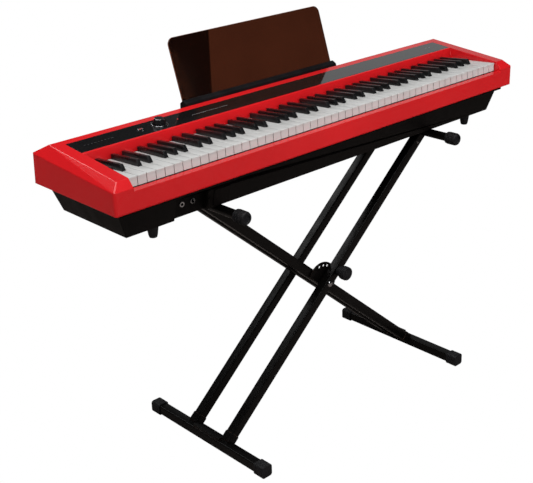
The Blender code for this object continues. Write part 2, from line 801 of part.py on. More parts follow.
def make_tube(name, rising, y):
    """One square tube, coped to fit round its foot bar and cut square under its arm."""
    along, normal = tube_frame(rising)
    foot = -1 if rising else 1
    arm_end = -foot * (TUBE_REACH - ARM_RADIUS - FIT_GAP)

    def place(a, b, t):
        return PIVOT + along * t + normal * a + Vector((0, y + b, 0))

    low, high = sorted((foot * TUBE_REACH, arm_end))
    tube = add_object(
        name,
        prism(rounded_square(TUBE, TUBE_CORNER), place, low, high),
        "black_steel",
        PIVOT,
    )
    bore = prism(rounded_square(TUBE - 2 * TUBE_WALL, TUBE_CORNER / 2, 1), place, -TUBE_REACH, TUBE_REACH)
    foot_centre = PIVOT + along * (foot * TUBE_REACH)
    cope = prism(
        rounded_square(TUBE + 2 * FIT_GAP, TUBE_CORNER + FIT_GAP),
        lambda a, b, t: foot_centre + Vector((a, t, b)),
        y - TUBE,
        y + TUBE,
    )
    return cut(tube, [bore, cope])


def bar_end(side, z):
    return Vector((STAND_X + side * STAND_HALF_SPAN, 0, z))


def make_foot_bar(name, side):
    centre = bar_end(side, FOOT_Z)
    half = FOOT_HALF_LENGTH - 0.004

    def place(a, b, t):
        return centre + Vector((a, t, b))

    bar = add_object(name, prism(rounded_square(TUBE, TUBE_CORNER), place, -half, half), "black_steel")
    hollow = rounded_square(TUBE - 2 * TUBE_WALL, TUBE_CORNER / 2, 1)
    cut(bar, [prism(hollow, place, -FOOT_HALF_LENGTH, FOOT_HALF_LENGTH)])
    for end_name, end in (("front", -1), ("back", 1)):
        low, high = sorted((end * (FOOT_HALF_LENGTH - CAP_LENGTH), end * FOOT_HALF_LENGTH))
        cap = prism(rounded_square(FOOT_CAP, FOOT_CAP_CORNER, 3), place, low, high)
        cap = shade_round(add_object(f"{name}_cap_{end_name}", cap, "black_rubber"))
        low, high = sorted((end * (FOOT_HALF_LENGTH - 2 * CAP_LENGTH), end * (half + FIT_GAP)))
        bore = rounded_square(TUBE + 2 * FIT_GAP, TUBE_CORNER + FIT_GAP)
        cut(cap, [prism(bore, place, low, high)])


def cap_solid(name, start, end, radius, length):
    """A push-on rubber cap, turned about the arm it closes."""
    profile = [
        (0, 0.0),
        (0, radius - 0.001),
        (0.001, radius),
        (length - 0.003, radius),
        (length, radius - 0.003),
        (length, 0.0),
    ]
    return shade_round(add_object(name, turned(profile, start, (0, end, 0), CAP_FLATS), "black_rubber"))


def make_arm(name, side):
    centre = bar_end(side, ARM_Z)
    half = ARM_HALF_LENGTH - 0.004
    arm = rod(centre - Vector((0, half, 0)), (0, 1, 0), 2 * half, ARM_RADIUS, 16)
    arm = shade_round(add_object(name, arm, "black_steel"))
    cut(arm, [rod(centre - Vector((0, half + 0.01, 0)), (0, 1, 0), 2 * half + 0.02, ARM_RADIUS - TUBE_WALL, 12)])
    for end_name, end in (("front", -1), ("back", 1)):
        cap_start = centre + Vector((0, end * (ARM_HALF_LENGTH - CAP_LENGTH), 0))
        cap = cap_solid(f"{name}_cap_{end_name}", cap_start, end, ARM_CAP_RADIUS, CAP_LENGTH)
        reach = CAP_LENGTH - 0.004 + FIT_GAP + 0.01
        bore = rod(cap_start - Vector((0, end * 0.01, 0)), (0, end, 0), reach, ARM_RADIUS + FIT_GAP, 16)
        cut(cap, [bore])


def make_pivots(tubes):
    nut = 0.005
    near = INNER_Y - TUBE / 2 - nut - 0.001
    grip = OUTER_Y + TUBE / 2 + FIT_GAP - near
    profile = [
        (0, 0.0),
        (0, BOLT_HEAD - 0.0005),
        (nut, BOLT_HEAD - 0.0005),
        (nut, BOLT_SHANK),
        (grip, BOLT_SHANK),
        (grip, BOLT_HEAD),
        (grip + BOLT_HEAD_LENGTH * 0.6, BOLT_HEAD * 0.8),
        (grip + BOLT_HEAD_LENGTH, BOLT_HEAD * 0.4),
        (grip + BOLT_HEAD_LENGTH, 0.0),
    ]
    for depth_name, side in (("front", -1), ("back", 1)):
        start = PIVOT + Vector((0, side * near, 0))
        bolt = add_object(f"pivot_bolt_{depth_name}", turned(profile, start, (0, side, 0), 12), "bright_steel")
        shade_round(bolt)
        hole_start = PIVOT + Vector((0, side * (near + nut + 0.0002), 0))
        for tube in (tubes[f"outer_tube_{depth_name}"], tubes[f"inner_tube_{depth_name}"]):
            cut(tube, [rod(hole_start, (0, side, 0), 0.1, BOLT_SHANK + FIT_GAP, 12)])


def lock_point(y):
    along, _ = tube_frame(True)
    return PIVOT + along * DISC_HOLE_CIRCLE + Vector((0, y, 0))


def make_lock(tubes):
    """Holed disc on the inner tubes and the sprung pull knob that passes through the outer tube."""
    disc_y = TUBE / 2 - OUTER_Y + DISC_GAP
    disc_start = PIVOT + Vector((0, disc_y, 0))
    disc = add_object("locking_disc", rod(disc_start, (0, 1, 0), DISC_THICKNESS, DISC_RADIUS, 40), "black_steel",
                      PIVOT)
    before = disc_start - Vector((0, 0.01, 0))
    cutters = [rod(before, (0, 1, 0), 0.03, BOLT_SHANK + FIT_GAP, 12)]
    for number in range(DISC_HOLES):
        angle = TUBE_ANGLE + DISC_STEP * number
        spoke = Vector((math.cos(angle), 0, math.sin(angle))) * DISC_HOLE_CIRCLE
        cutters.append(rod(before + spoke, (0, 1, 0), 0.03, LOCK_PIN_RADIUS + 0.0005, 10))
    along, normal = tube_frame(False)
    reach = 2 * DISC_RADIUS
    under = [(-reach, -reach), (reach, -reach), (reach, 0.001 - TUBE / 2), (-reach, 0.001 - TUBE / 2)]
    cutters.append(prism(under, lambda a, b, t: PIVOT + along * a + normal * b + Vector((0, t, 0)), -0.1, 0.0))
    cut(disc, cutters)

    face = -(OUTER_Y + TUBE / 2)
    length = LOCK_KNOB_LENGTH
    radius = LOCK_KNOB_RADIUS
    neck = length - 0.0004
    tip = length + TUBE + DISC_GAP - LOCK_PIN_SHORT
    profile = [
        (0, 0.0),
        (0, radius - 0.002),
        (0.002, radius),
        (length * 0.5, radius),
        (length * 0.62, radius * 0.86),
        (length * 0.94, radius * 0.68),
        (neck, radius * 0.54),
        (neck, LOCK_PIN_RADIUS),
        (tip, LOCK_PIN_RADIUS),
        (tip, 0.0),
    ]
    start = lock_point(face - length)
    knob = add_object("locking_knob", turned(profile, start, (0, 1, 0), 16), "black_rubber", start)
    shade_round(knob)
    hole = rod(lock_point(face - 0.01), (0, 1, 0), 0.06, LOCK_PIN_RADIUS + 0.0004, 12)
    cut(tubes["outer_tube_front"], [hole])


def make_stand():
    tubes = {}
    for depth_name, side in (("front", -1), ("back", 1)):
        tubes[f"outer_tube_{depth_name}"] = make_tube(f"outer_tube_{depth_name}", True, side * OUTER_Y)
        tubes[f"inner_tube_{depth_name}"] = make_tube(f"inner_tube_{depth_name}", False, side * INNER_Y)
    make_foot_bar("left_foot_bar", -1)
    make_foot_bar("right_foot_bar", 1)
    make_arm("left_arm", -1)
    make_arm("right_arm", 1)
    make_pivots(tubes)
    make_lock(tubes)


def main():
    for obj in list(bpy.data.objects):
        bpy.data.objects.remove(obj, do_unlink=True)
    make_upper_case()
    make_control_strip()
    make_music_rest()
    make_lower_case()
    make_jacks()
    make_rear_sockets()
    make_rubber_feet()
    make_works()
    make_keys()
    make_stand()


main()
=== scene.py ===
"""Looks of an 88-key digital piano on a folding, double-braced X stand, built on its packed frame.

Everything is in metres. Piano pieces use keyboard coordinates: y back from the front edge of the
white keys and z up from their tops, which at() turns into a world point. The key tops fall a little
towards the back, so the keys are drawn flat and tilt_keys() leans them.
"""
import json
import math

import bmesh
import bpy
from bpy.props import FloatProperty, FloatVectorProperty, IntProperty, PointerProperty
from mathutils import Matrix, Vector

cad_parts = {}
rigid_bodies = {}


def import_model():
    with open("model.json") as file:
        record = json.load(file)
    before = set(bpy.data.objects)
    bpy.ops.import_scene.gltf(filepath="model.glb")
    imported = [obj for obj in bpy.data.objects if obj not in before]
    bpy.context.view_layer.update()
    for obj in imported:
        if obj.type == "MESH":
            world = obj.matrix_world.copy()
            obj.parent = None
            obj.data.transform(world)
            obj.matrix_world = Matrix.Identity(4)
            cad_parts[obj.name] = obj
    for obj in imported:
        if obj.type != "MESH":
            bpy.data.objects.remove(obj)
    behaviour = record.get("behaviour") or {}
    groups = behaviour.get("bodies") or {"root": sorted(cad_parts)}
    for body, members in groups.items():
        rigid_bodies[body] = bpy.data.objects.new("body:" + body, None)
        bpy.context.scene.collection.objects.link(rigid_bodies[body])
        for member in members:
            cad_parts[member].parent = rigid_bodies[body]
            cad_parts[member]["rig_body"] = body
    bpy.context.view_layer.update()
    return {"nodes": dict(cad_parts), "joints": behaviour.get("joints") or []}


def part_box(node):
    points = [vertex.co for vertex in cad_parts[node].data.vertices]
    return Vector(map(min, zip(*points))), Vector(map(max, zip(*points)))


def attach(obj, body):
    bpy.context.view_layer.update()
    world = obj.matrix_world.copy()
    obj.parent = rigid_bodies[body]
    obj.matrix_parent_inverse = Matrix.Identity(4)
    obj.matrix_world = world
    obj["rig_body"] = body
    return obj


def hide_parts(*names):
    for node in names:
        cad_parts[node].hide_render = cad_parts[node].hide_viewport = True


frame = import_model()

bl_info = {
    "name": "Digital piano on an X stand",
    "version": (1, 0, 0),
    "blender": (4, 5, 0),
    "location": "3D View > Sidebar > Piano",
    "description": "Builds the finished piano and stand round the packed frame",
    "category": "Object",
}

# ---------------------------------------------------------------- sizes read from the frame
MERGE = 1e-5
BASS_LOW, BASS_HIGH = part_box("white_keys_bass")
TREBLE_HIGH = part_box("white_keys_treble")[1]
CASE_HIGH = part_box("upper_case")[1]
WHITE_KEYS = 52
KEY_SPACE = 0.001
KEY_PITCH = (TREBLE_HIGH.x - BASS_LOW.x + KEY_SPACE) / WHITE_KEYS
KEY_TILT = math.atan(0.06)
TILT_Y = 0.050
TILT_ALONG, TILT_ACROSS = math.cos(KEY_TILT), math.sin(KEY_TILT)
KEY_SPAN = BASS_HIGH - BASS_LOW
SQUARE = TILT_ALONG ** 2 - TILT_ACROSS ** 2
KEY_BACK = (KEY_SPAN.y * TILT_ALONG - KEY_SPAN.z * TILT_ACROSS) / SQUARE
KEY_DEPTH = (KEY_SPAN.z * TILT_ALONG - KEY_SPAN.y * TILT_ACROSS) / SQUARE
FRONT_Y = BASS_LOW.y + KEY_DEPTH * TILT_ACROSS - TILT_Y * (1 - TILT_ALONG)
TOP_Z = BASS_HIGH.z - TILT_Y * TILT_ACROSS
KEYS_LEFT = BASS_LOW.x - KEY_SPACE / 2
FIRST_C = 2
OCTAVE = 7
MIDDLE_C = round((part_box("key_c4")[0].x - KEYS_LEFT) / KEY_PITCH)


def at(x, y, z):
    """World point of a place in keyboard coordinates."""
    return Vector((x, FRONT_Y + y, TOP_Z + z))


def tilt_keys(bm):
    """Move a key drawn flat in keyboard coordinates to the plane of the key tops, which falls back."""
    for vert in bm.verts:
        x, y, z = vert.co
        run = y - TILT_Y
        vert.co = at(x, TILT_Y + run * TILT_ALONG + z * TILT_ACROSS, z * TILT_ALONG - run * TILT_ACROSS)
    return bm


def centre(node):
    low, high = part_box(node)
    return (low + high) / 2


def body_of(node):
    return frame["nodes"][node]["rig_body"]


STRIP_LOW, STRIP_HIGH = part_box("control_panel")
STRIP_THICKNESS = 0.0017
DECK_SLOPE = math.atan2(
    STRIP_HIGH.z - STRIP_LOW.z - STRIP_THICKNESS, STRIP_HIGH.y - STRIP_LOW.y
)
DECK_UP = Vector((0, -math.sin(DECK_SLOPE), math.cos(DECK_SLOPE)))
DECK_BACK = Vector((0, math.cos(DECK_SLOPE), math.sin(DECK_SLOPE)))
STRIP_MIDDLE = (STRIP_LOW.y + STRIP_HIGH.y) / 2
STRIP_TOP = (STRIP_LOW.z + STRIP_HIGH.z + STRIP_THICKNESS) / 2
KNOB_AT = centre("volume_knob")
BUTTON_AT = centre("power_button")
PIVOT = Vector(next(j for j in frame["joints"] if j["name"] == "stand_fold")["pos_m"])
OUTER_FOOT = centre("left_foot_bar")
OUTER_ARM = centre("right_arm")
INNER_FOOT = centre("right_foot_bar")
INNER_ARM = centre("left_arm")
REST_LEAN = Vector(next(j for j in frame["joints"] if j["name"] == "music_rest_lift")["axis"])


# ---------------------------------------------------------------- settings a user would change
def colour(label, text, value):
    return FloatVectorProperty(
        name=label, description=text, subtype="COLOR", size=4, min=0.0, max=1.0, default=(*value, 1.0)
    )


def length(label, text, value):
    return FloatProperty(name=label, description=text, unit="LENGTH", min=0.0, precision=4, default=value)


class CaseSettings(bpy.types.PropertyGroup):
    """Red upper case and black lower case."""

    lacquer: colour("Lacquer", "Colour of the satin red lacquer", (0.71, 0.012, 0.016))
    plastic: colour("Lower case", "Colour of the grained black plastic", (0.0020, 0.0016, 0.0015))
    corner: length("Corner radius", "Rounding of the case's upright corners", 0.006)
    crease: length("Crease radius", "Rounding of the case's long creases", 0.0014)
    hook: length("Hook width", "Width of one hook that holds the two cases together", 0.0026)


class StripSettings(bpy.types.PropertyGroup):
    """Glossy control strip with its knob, button and lamp."""

    gloss: colour("Strip", "Colour of the glossy strip", (0.004, 0.004, 0.0045))
    ink: colour("Ink", "Colour of the printed marks", (0.42, 0.43, 0.44))
    edge: length("Knob edge", "Width of the polished lines along the knob's edges", 0.0006)


class RestSettings(bpy.types.PropertyGroup):
    """Smoked music rest."""

    smoke: colour("Smoke", "Colour of the smoked acrylic", (0.085, 0.024, 0.010))
    corner: length("Corner radius", "Radius of the rest's upper corners", 0.018)


class KeySettings(bpy.types.PropertyGroup):
    """White and black keys."""

    white: colour("White keys", "Colour of the white key tops", (0.60, 0.60, 0.59))
    black: colour("Black keys", "Colour of the black keys", (0.006, 0.006, 0.0065))
    lip: length("Front lip", "How far a white key's top stands out over its front", 0.0010)
    round: length("Edge radius", "Rounding of the key tops' edges", 0.0007)


class StandSettings(bpy.types.PropertyGroup):
    """Folding stand."""

    paint: colour("Paint", "Colour of the powder-coated steel", (0.0018, 0.0015, 0.0014))
    rubber: colour("Rubber", "Colour of the caps and feet", (0.005, 0.005, 0.006))
    ribs: IntProperty(name="Cap ribs", description="Ribs round one arm cap", min=8, max=60, default=28)
    bead: length("Weld bead", "Size of one ripple in a weld", 0.0032)


class StageSettings(bpy.types.PropertyGroup):
    """Floor, light and camera."""

    lens: FloatProperty(
        name="Lens", description="Camera focal length in millimetres", min=10, default=71.347
    )
    key_light: FloatProperty(
        name="Key light", description="Power of the soft light above", unit="POWER", min=0.0, default=70.0
    )


# ---------------------------------------------------------------- node building
class Wires:
    """Adds nodes to a tree; an input is set to a value or joined to another node's socket."""

    def __init__(self, tree):
        self.tree = tree

    def add(self, kind, settings=None, inputs=None):
        node = self.tree.nodes.new(kind)
        for name, value in (settings or {}).items():
            setattr(node, name, value)
        for key, value in (inputs or {}).items():
            if isinstance(value, bpy.types.NodeSocket):
                self.tree.links.new(value, node.inputs[key])
            else:
                node.inputs[key].default_value = value
        return node.outputs

    def math(self, operation, first, second=0.0):
        return self.add("ShaderNodeMath", {"operation": operation}, {0: first, 1: second})[0]

    def mix(self, factor, first, second):
        return self.add("ShaderNodeMix", {"data_type": "RGBA"}, {0: factor, 6: first, 7: second})[2]

    def span(self, value, low, high, to_low=0.0, to_high=1.0):
        return self.add("ShaderNodeMapRange", {}, {0: value, 1: low, 2: high, 3: to_low, 4: to_high})[0]

    def noise(self, place, scale, detail=2.0):
        return self.add("ShaderNodeTexNoise", {}, {"Vector": place, "Scale": scale, "Detail": detail})[0]

    def vector_math(self, operation, first, second):
        return self.add("ShaderNodeVectorMath", {"operation": operation}, {0: first, 1: second})

    def end_painted(self, geometry, material):
        """Set the material and end a geometry tree."""
        painted = self.add("GeometryNodeSetMaterial", {}, {"Geometry": geometry, "Material": material})[0]
        self.add("NodeGroupOutput", {}, {"Geometry": painted})


def new_tree(name, kind, inputs, outputs):
    """A node group with named sockets: (label, socket type, default)."""
    tree = bpy.data.node_groups.new(name, kind)
    for label, socket, default in inputs:
        made = tree.interface.new_socket(label, in_out="INPUT", socket_type=socket)
        if default is not None:
            made.default_value = default
    for label, socket in outputs:
        tree.interface.new_socket(label, in_out="OUTPUT", socket_type=socket)
    return tree


FLOAT, COLOR, VECTOR, INT = "NodeSocketFloat", "NodeSocketColor", "NodeSocketVector", "NodeSocketInt"


def grain_group():
    """Moulded or painted surface: slow colour drift, uneven gloss and a fine bump."""
    tree = bpy.data.node_groups.get("Surface grain")
    if tree:
        return tree
    tree = new_tree(
        "Surface grain",
        "ShaderNodeTree",
        [("Color", COLOR, None), ("Second color", COLOR, None), ("Drift scale", FLOAT, 6.0),
         ("Grain scale", FLOAT, 900.0), ("Stretch", VECTOR, (1.0, 1.0, 1.0)), ("Smooth", FLOAT, 0.3),
         ("Rough", FLOAT, 0.4)],
        [("Color", COLOR), ("Roughness", FLOAT), ("Height", FLOAT)],
    )
    wires = Wires(tree)
    given = wires.add("NodeGroupInput")
    place = wires.add("ShaderNodeTexCoord")["Object"]
    stretched = wires.vector_math("MULTIPLY", place, given["Stretch"])[0]
    drift = wires.noise(stretched, given["Drift scale"], 3.0)
    fine = wires.noise(place, given["Grain scale"])
    soft = wires.span(drift, 0.35, 0.68)
    tint = wires.mix(soft, given["Color"], given["Second color"])
    uneven = wires.math("ADD", wires.math("MULTIPLY", soft, 0.7), wires.math("MULTIPLY", fine, 0.3))
    rough = wires.span(uneven, 0.0, 1.0, given["Smooth"], given["Rough"])
    wires.add("NodeGroupOutput", {}, {"Color": tint, "Roughness": rough, "Height": fine})
    return tree


def wear_and_highlight_group():
    """Edge wear and painted edge highlight: another tone where the surface turns sharply, broken up by a
    noise.
    """
    tree = bpy.data.node_groups.get("Edge wear and highlight")
    if tree:
        return tree
    tree = new_tree(
        "Edge wear and highlight",
        "ShaderNodeTree",
        [("Color", COLOR, None), ("Wear and highlight color", COLOR, None), ("Width", FLOAT, 0.001),
         ("Amount", FLOAT, 0.5)],
        [("Color", COLOR), ("Mask", FLOAT)],
    )
    wires = Wires(tree)
    given = wires.add("NodeGroupInput")
    place = wires.add("ShaderNodeTexCoord")["Object"]
    turned_normal = wires.add("ShaderNodeBevel", {"samples": 4}, {"Radius": given["Width"]})[0]
    flat_normal = wires.add("ShaderNodeNewGeometry")["Normal"]
    facing = wires.vector_math("DOT_PRODUCT", turned_normal, flat_normal)[1]
    edge = wires.span(facing, 0.97, 0.80)
    broken = wires.noise(place, 140.0, 4.0)
    chips = wires.span(broken, 0.40, 0.62)
    mask = wires.math("MULTIPLY", wires.math("MULTIPLY", edge, chips), given["Amount"])
    tint = wires.mix(mask, given["Color"], given["Wear and highlight color"])
    wires.add("NodeGroupOutput", {}, {"Color": tint, "Mask": mask})
    return tree


def dust_group():
    """A thin film of dust on faces that look up."""
    tree = bpy.data.node_groups.get("Dust film")
    if tree:
        return tree
    tree = new_tree(
        "Dust film",
        "ShaderNodeTree",
        [("Color", COLOR, None), ("Dust color", COLOR, (0.35, 0.33, 0.30, 1.0)), ("Amount", FLOAT, 0.05)],
        [("Color", COLOR), ("Mask", FLOAT)],
    )
    wires = Wires(tree)
    given = wires.add("NodeGroupInput")
    place = wires.add("ShaderNodeTexCoord")["Object"]
    up = wires.add("ShaderNodeSeparateXYZ", {}, {0: wires.add("ShaderNodeNewGeometry")["Normal"]})["Z"]
    specks = wires.noise(place, 320.0, 6.0)
    patch = wires.math("MULTIPLY", wires.span(up, 0.2, 0.9), wires.span(specks, 0.45, 0.7))
    mask = wires.math("MULTIPLY", patch, given["Amount"])
    tint = wires.mix(mask, given["Color"], given["Dust color"])
    wires.add("NodeGroupOutput", {}, {"Color": tint, "Mask": mask})
    return tree


def surface(name, base, second, gloss=(0.3, 0.4), drift=6.0, grain=900.0, stretch=(1, 1, 1), bump=0.05,
            depth=0.0002, wear_and_highlight=None, dust=0.0, fixed=None):
    """A material from the shared groups; fixed holds the shader's plain values, such as Metallic."""
    material = bpy.data.materials.get("finish_" + name)
    if material:
        return material
    material = bpy.data.materials.new("finish_" + name)
    material.use_nodes = True
    tree = material.node_tree
    shader = tree.nodes["Principled BSDF"]
    wires = Wires(tree)
    look = wires.add("ShaderNodeGroup", {"node_tree": grain_group()}, {
        "Color": (*base, 1.0), "Second color": (*second, 1.0), "Drift scale": drift, "Grain scale": grain,
        "Stretch": stretch, "Smooth": gloss[0], "Rough": gloss[1]})
    tint = look["Color"]
    if wear_and_highlight:
        edge_tone, width, amount = wear_and_highlight
        tint = wires.add("ShaderNodeGroup", {"node_tree": wear_and_highlight_group()}, {
            "Color": tint, "Wear and highlight color": (*edge_tone, 1.0), "Width": width, "Amount": amount})["Color"]
    if dust:
        tint = wires.add("ShaderNodeGroup", {"node_tree": dust_group()}, {
            "Color": tint, "Amount": dust})["Color"]
    tree.links.new(tint, shader.inputs["Base Color"])
    tree.links.new(look["Roughness"], shader.inputs["Roughness"])
    if bump:
        normal = wires.add("ShaderNodeBump", {}, {
            "Height": look["Height"], "Strength": bump, "Distance": depth})[0]
        tree.links.new(normal, shader.inputs["Normal"])
    for socket, value in (fixed or {}).items():
        shader.inputs[socket].default_value = value
    return material


def scaled(value, factor):
    return tuple(channel * factor for channel in value[:3])


# ---------------------------------------------------------------- finishes
def red_lacquer():
    base = bpy.context.scene.piano_case.lacquer
    # The lighter red along sharp edges is partly wear and partly a painted highlight.
    return surface("red_lacquer", base[:3], scaled(base, 0.86), (0.20, 0.30), drift=3.5, grain=1400.0,
                   bump=0.03, depth=0.00012, wear_and_highlight=((0.75, 0.08, 0.07), 0.0010, 0.15), dust=0.004,
                   fixed={"Coat Weight": 0.12, "Coat Roughness": 0.12, "Specular IOR Level": 0.32})


def grained_plastic():
    base = bpy.context.scene.piano_case.plastic
    return surface("grained_plastic", base[:3], scaled(base, 2.3), (0.42, 0.62), drift=26.0, grain=1700.0,
                   stretch=(1.0, 1.0, 0.12), bump=0.35, depth=0.00025,
                   wear_and_highlight=((0.03, 0.03, 0.03), 0.0015, 0.25), fixed={"Specular IOR Level": 0.11})


def plain_plastic():
    return surface("plain_plastic", (0.004, 0.004, 0.0045), (0.007, 0.007, 0.008), (0.35, 0.5), drift=30.0,
                   grain=1500.0, bump=0.15, wear_and_highlight=((0.06, 0.06, 0.06), 0.001, 0.3),
                   fixed={"Specular IOR Level": 0.25})


def gloss_strip():
    base = bpy.context.scene.piano_strip.gloss
    return surface("gloss_strip", base[:3], scaled(base, 1.8), (0.05, 0.11), drift=9.0, grain=600.0,
                   stretch=(0.4, 1.0, 1.0), bump=0.01, depth=0.0001, dust=0.03, fixed={"Coat Weight": 0.3})


def printed_ink():
    base = bpy.context.scene.piano_strip.ink
    return surface("printed_ink", base[:3], scaled(base, 0.7), (0.45, 0.6), drift=400.0, grain=2500.0,
                   bump=0.1, depth=0.00005)


def faint_ink():
    base = bpy.context.scene.piano_strip.ink
    return surface("faint_ink", scaled(base, 0.16), scaled(base, 0.11), (0.45, 0.6), drift=400.0,
                   grain=2500.0, bump=0.1, depth=0.00005)


def bright_metal():
    return surface("bright_metal", (0.62, 0.62, 0.63), (0.45, 0.45, 0.47), (0.16, 0.3), drift=60.0,
                   grain=1600.0, bump=0.04, depth=0.0001, wear_and_highlight=((0.85, 0.85, 0.86), 0.0006, 0.6),
                   fixed={"Metallic": 1.0})


def dull_metal():
    return surface("dull_metal", (0.42, 0.42, 0.41), (0.30, 0.30, 0.30), (0.32, 0.5), drift=40.0,
                   grain=900.0, stretch=(0.2, 1.0, 1.0), bump=0.08, fixed={"Metallic": 1.0})


def smoked_acrylic():
    base = bpy.context.scene.piano_rest.smoke
    return surface("smoked_acrylic", base[:3], scaled(base, 0.85), (0.02, 0.05), drift=7.0, grain=300.0,
                   bump=0.0, fixed={"Transmission Weight": 0.97, "IOR": 1.49})


def polished_edge():
    base = bpy.context.scene.piano_rest.smoke
    return surface("polished_edge", scaled(base, 2.2), scaled(base, 3.2), (0.15, 0.25), drift=90.0,
                   grain=900.0, bump=0.05, fixed={"Coat Weight": 0.5})


def key_white():
    base = bpy.context.scene.piano_keys.white
    return surface("key_white", base[:3], scaled(base, 0.93), (0.26, 0.38), drift=22.0, grain=1200.0,
                   stretch=(1.0, 0.25, 1.0), bump=0.03, depth=0.0001,
                   wear_and_highlight=((0.80, 0.80, 0.78), 0.0008, 0.4), fixed={"Specular IOR Level": 0.45})


def key_black():
    base = bpy.context.scene.piano_keys.black
    return surface("key_black", base[:3], scaled(base, 1.8), (0.24, 0.36), drift=45.0, grain=2200.0,
                   stretch=(1.0, 0.3, 1.0), bump=0.10, depth=0.00012,
                   wear_and_highlight=((0.12, 0.12, 0.125), 0.001, 0.5), fixed={"Specular IOR Level": 0.45})


def painted_steel():
    base = bpy.context.scene.piano_stand.paint
    # The brown tone along sharp edges is a painted reflection.
    return surface("painted_steel", base[:3], scaled(base, 1.7), (0.28, 0.42), drift=18.0, grain=1100.0,
                   bump=0.05, depth=0.0001, wear_and_highlight=((0.10, 0.045, 0.025), 0.0014, 0.5), dust=0.004,
                   fixed={"Specular IOR Level": 0.17})


def rubber():
    base = bpy.context.scene.piano_stand.rubber
    return surface("rubber", base[:3], scaled(base, 1.8), (0.55, 0.75), drift=60.0, grain=1300.0, bump=0.4,
                   depth=0.0003, wear_and_highlight=((0.05, 0.05, 0.05), 0.0015, 0.35), dust=0.05,
                   fixed={"Specular IOR Level": 0.35})


def circuit_board():
    return surface("circuit_board", (0.008, 0.10, 0.035), (0.02, 0.18, 0.06), (0.3, 0.5), drift=120.0,
                   grain=700.0, bump=0.2, wear_and_highlight=((0.35, 0.25, 0.08), 0.001, 0.4))


def lamp_lens():
    return surface("lamp_lens", (0.42, 0.012, 0.012), (0.65, 0.03, 0.02), (0.12, 0.2), drift=500.0,
                   grain=900.0, bump=0.02,
                   fixed={"Emission Color": (0.6, 0.02, 0.02, 1.0), "Emission Strength": 0.15})


# ---------------------------------------------------------------- mesh building
SHARP = 38.0            # degrees: a fold shown and rounded as an edge
SLIGHT = 20.0           # degrees: a fold that is more than a curve's own facets
SQUARE_TURN = 1.2       # radians: an edge between faces nearly square to each other
SAME_FACE = 0.5         # degrees: triangles that belong to one flat face


def join_copy(bm, other):
    """Add the bmesh other to bm and free it."""
    mesh = bpy.data.meshes.new("joined")
    other.to_mesh(mesh)
    other.free()
    bm.from_mesh(mesh)
    bpy.data.meshes.remove(mesh)
    return bm


def outward(bm):
    bmesh.ops.recalc_face_normals(bm, faces=bm.faces)
    return bm


def prism(outline, place, low, high):
    """Extrude a closed outline; place(a, b, t) turns outline a, b and the travel t into a point."""
    bm = bmesh.new()
    rings = [[bm.verts.new(place(a, b, travel)) for a, b in outline] for travel in (low, high)]
    for ring in rings:
        bm.faces.new(ring)
    for index in range(len(outline)):
        after = (index + 1) % len(outline)
        bm.faces.new((rings[0][index], rings[0][after], rings[1][after], rings[1][index]))
    return outward(bm)


def block(low, high):
    """A box between two corners."""
    outline = [(low[0], low[1]), (high[0], low[1]), (high[0], high[1]), (low[0], high[1])]
    return prism(outline, lambda a, b, t: (a, b, t), low[2], high[2])


def turned(profile, start, axis, segments=40):
    """Turn (distance along the axis, radius) points about an axis; zero radii close the ends."""
    axis = Vector(axis).normalized()
    frame_turn = Vector((0, 0, 1)).rotation_difference(axis).to_matrix()
    bm = bmesh.new()
    rings = []
    for along, radius in profile:
        middle = Vector(start) + axis * along
        if radius == 0.0:
            rings.append([bm.verts.new(middle)])
            continue
        angles = [2 * math.pi * step / segments for step in range(segments)]
        rings.append([bm.verts.new(middle + frame_turn @ Vector((math.cos(a), math.sin(a), 0)) * radius)
                      for a in angles])
    for near, far in zip(rings, rings[1:]):
        for step in range(segments):
            after = (step + 1) % segments
            if len(near) == 1:
                bm.faces.new((near[0], far[step], far[after]))
            elif len(far) == 1:
                bm.faces.new((near[step], near[after], far[0]))
            else:
                bm.faces.new((near[step], near[after], far[after], far[step]))
    return outward(bm)


def rounded_outline(width, height, radius, steps=5):
    """Outline of a rectangle with rounded corners."""
    points = []
    for corner, (sx, sy) in enumerate(((1, 1), (-1, 1), (-1, -1), (1, -1))):
        for step in range(steps + 1):
            angle = math.pi / 2 * (corner + step / steps)
            points.append((sx * (width / 2 - radius) + radius * math.cos(angle),
                           sy * (height / 2 - radius) + radius * math.sin(angle)))
    return points


def arc(middle, radius, first, last, steps):
    """Points (distance, radius) of a rounded edge in a turned profile; angles in degrees."""
    angles = [math.radians(first + (last - first) * step / steps) for step in range(steps + 1)]
    return [(middle[0] + radius * math.cos(a), middle[1] + radius * math.sin(a)) for a in angles]


def cad_copy(node):
    """A working copy of a CAD node: doubles merged, triangles joined into whole flat faces."""
    bm = bmesh.new()
    bm.from_mesh(frame["nodes"][node].data)
    bmesh.ops.remove_doubles(bm, verts=bm.verts, dist=MERGE)
    bmesh.ops.dissolve_limit(bm, angle_limit=math.radians(SAME_FACE), verts=bm.verts, edges=bm.edges)
    return bm


def new_piece(name, bm, *materials):
    mesh = bpy.data.meshes.new(name)
    bm.to_mesh(mesh)
    bm.free()
    obj = bpy.data.objects.new(name, mesh)
    for material in materials:
        mesh.materials.append(material)
    bpy.context.scene.collection.objects.link(obj)
    mesh.shade_smooth()
    mesh.set_sharp_from_angle(angle=math.radians(SHARP))
    return obj


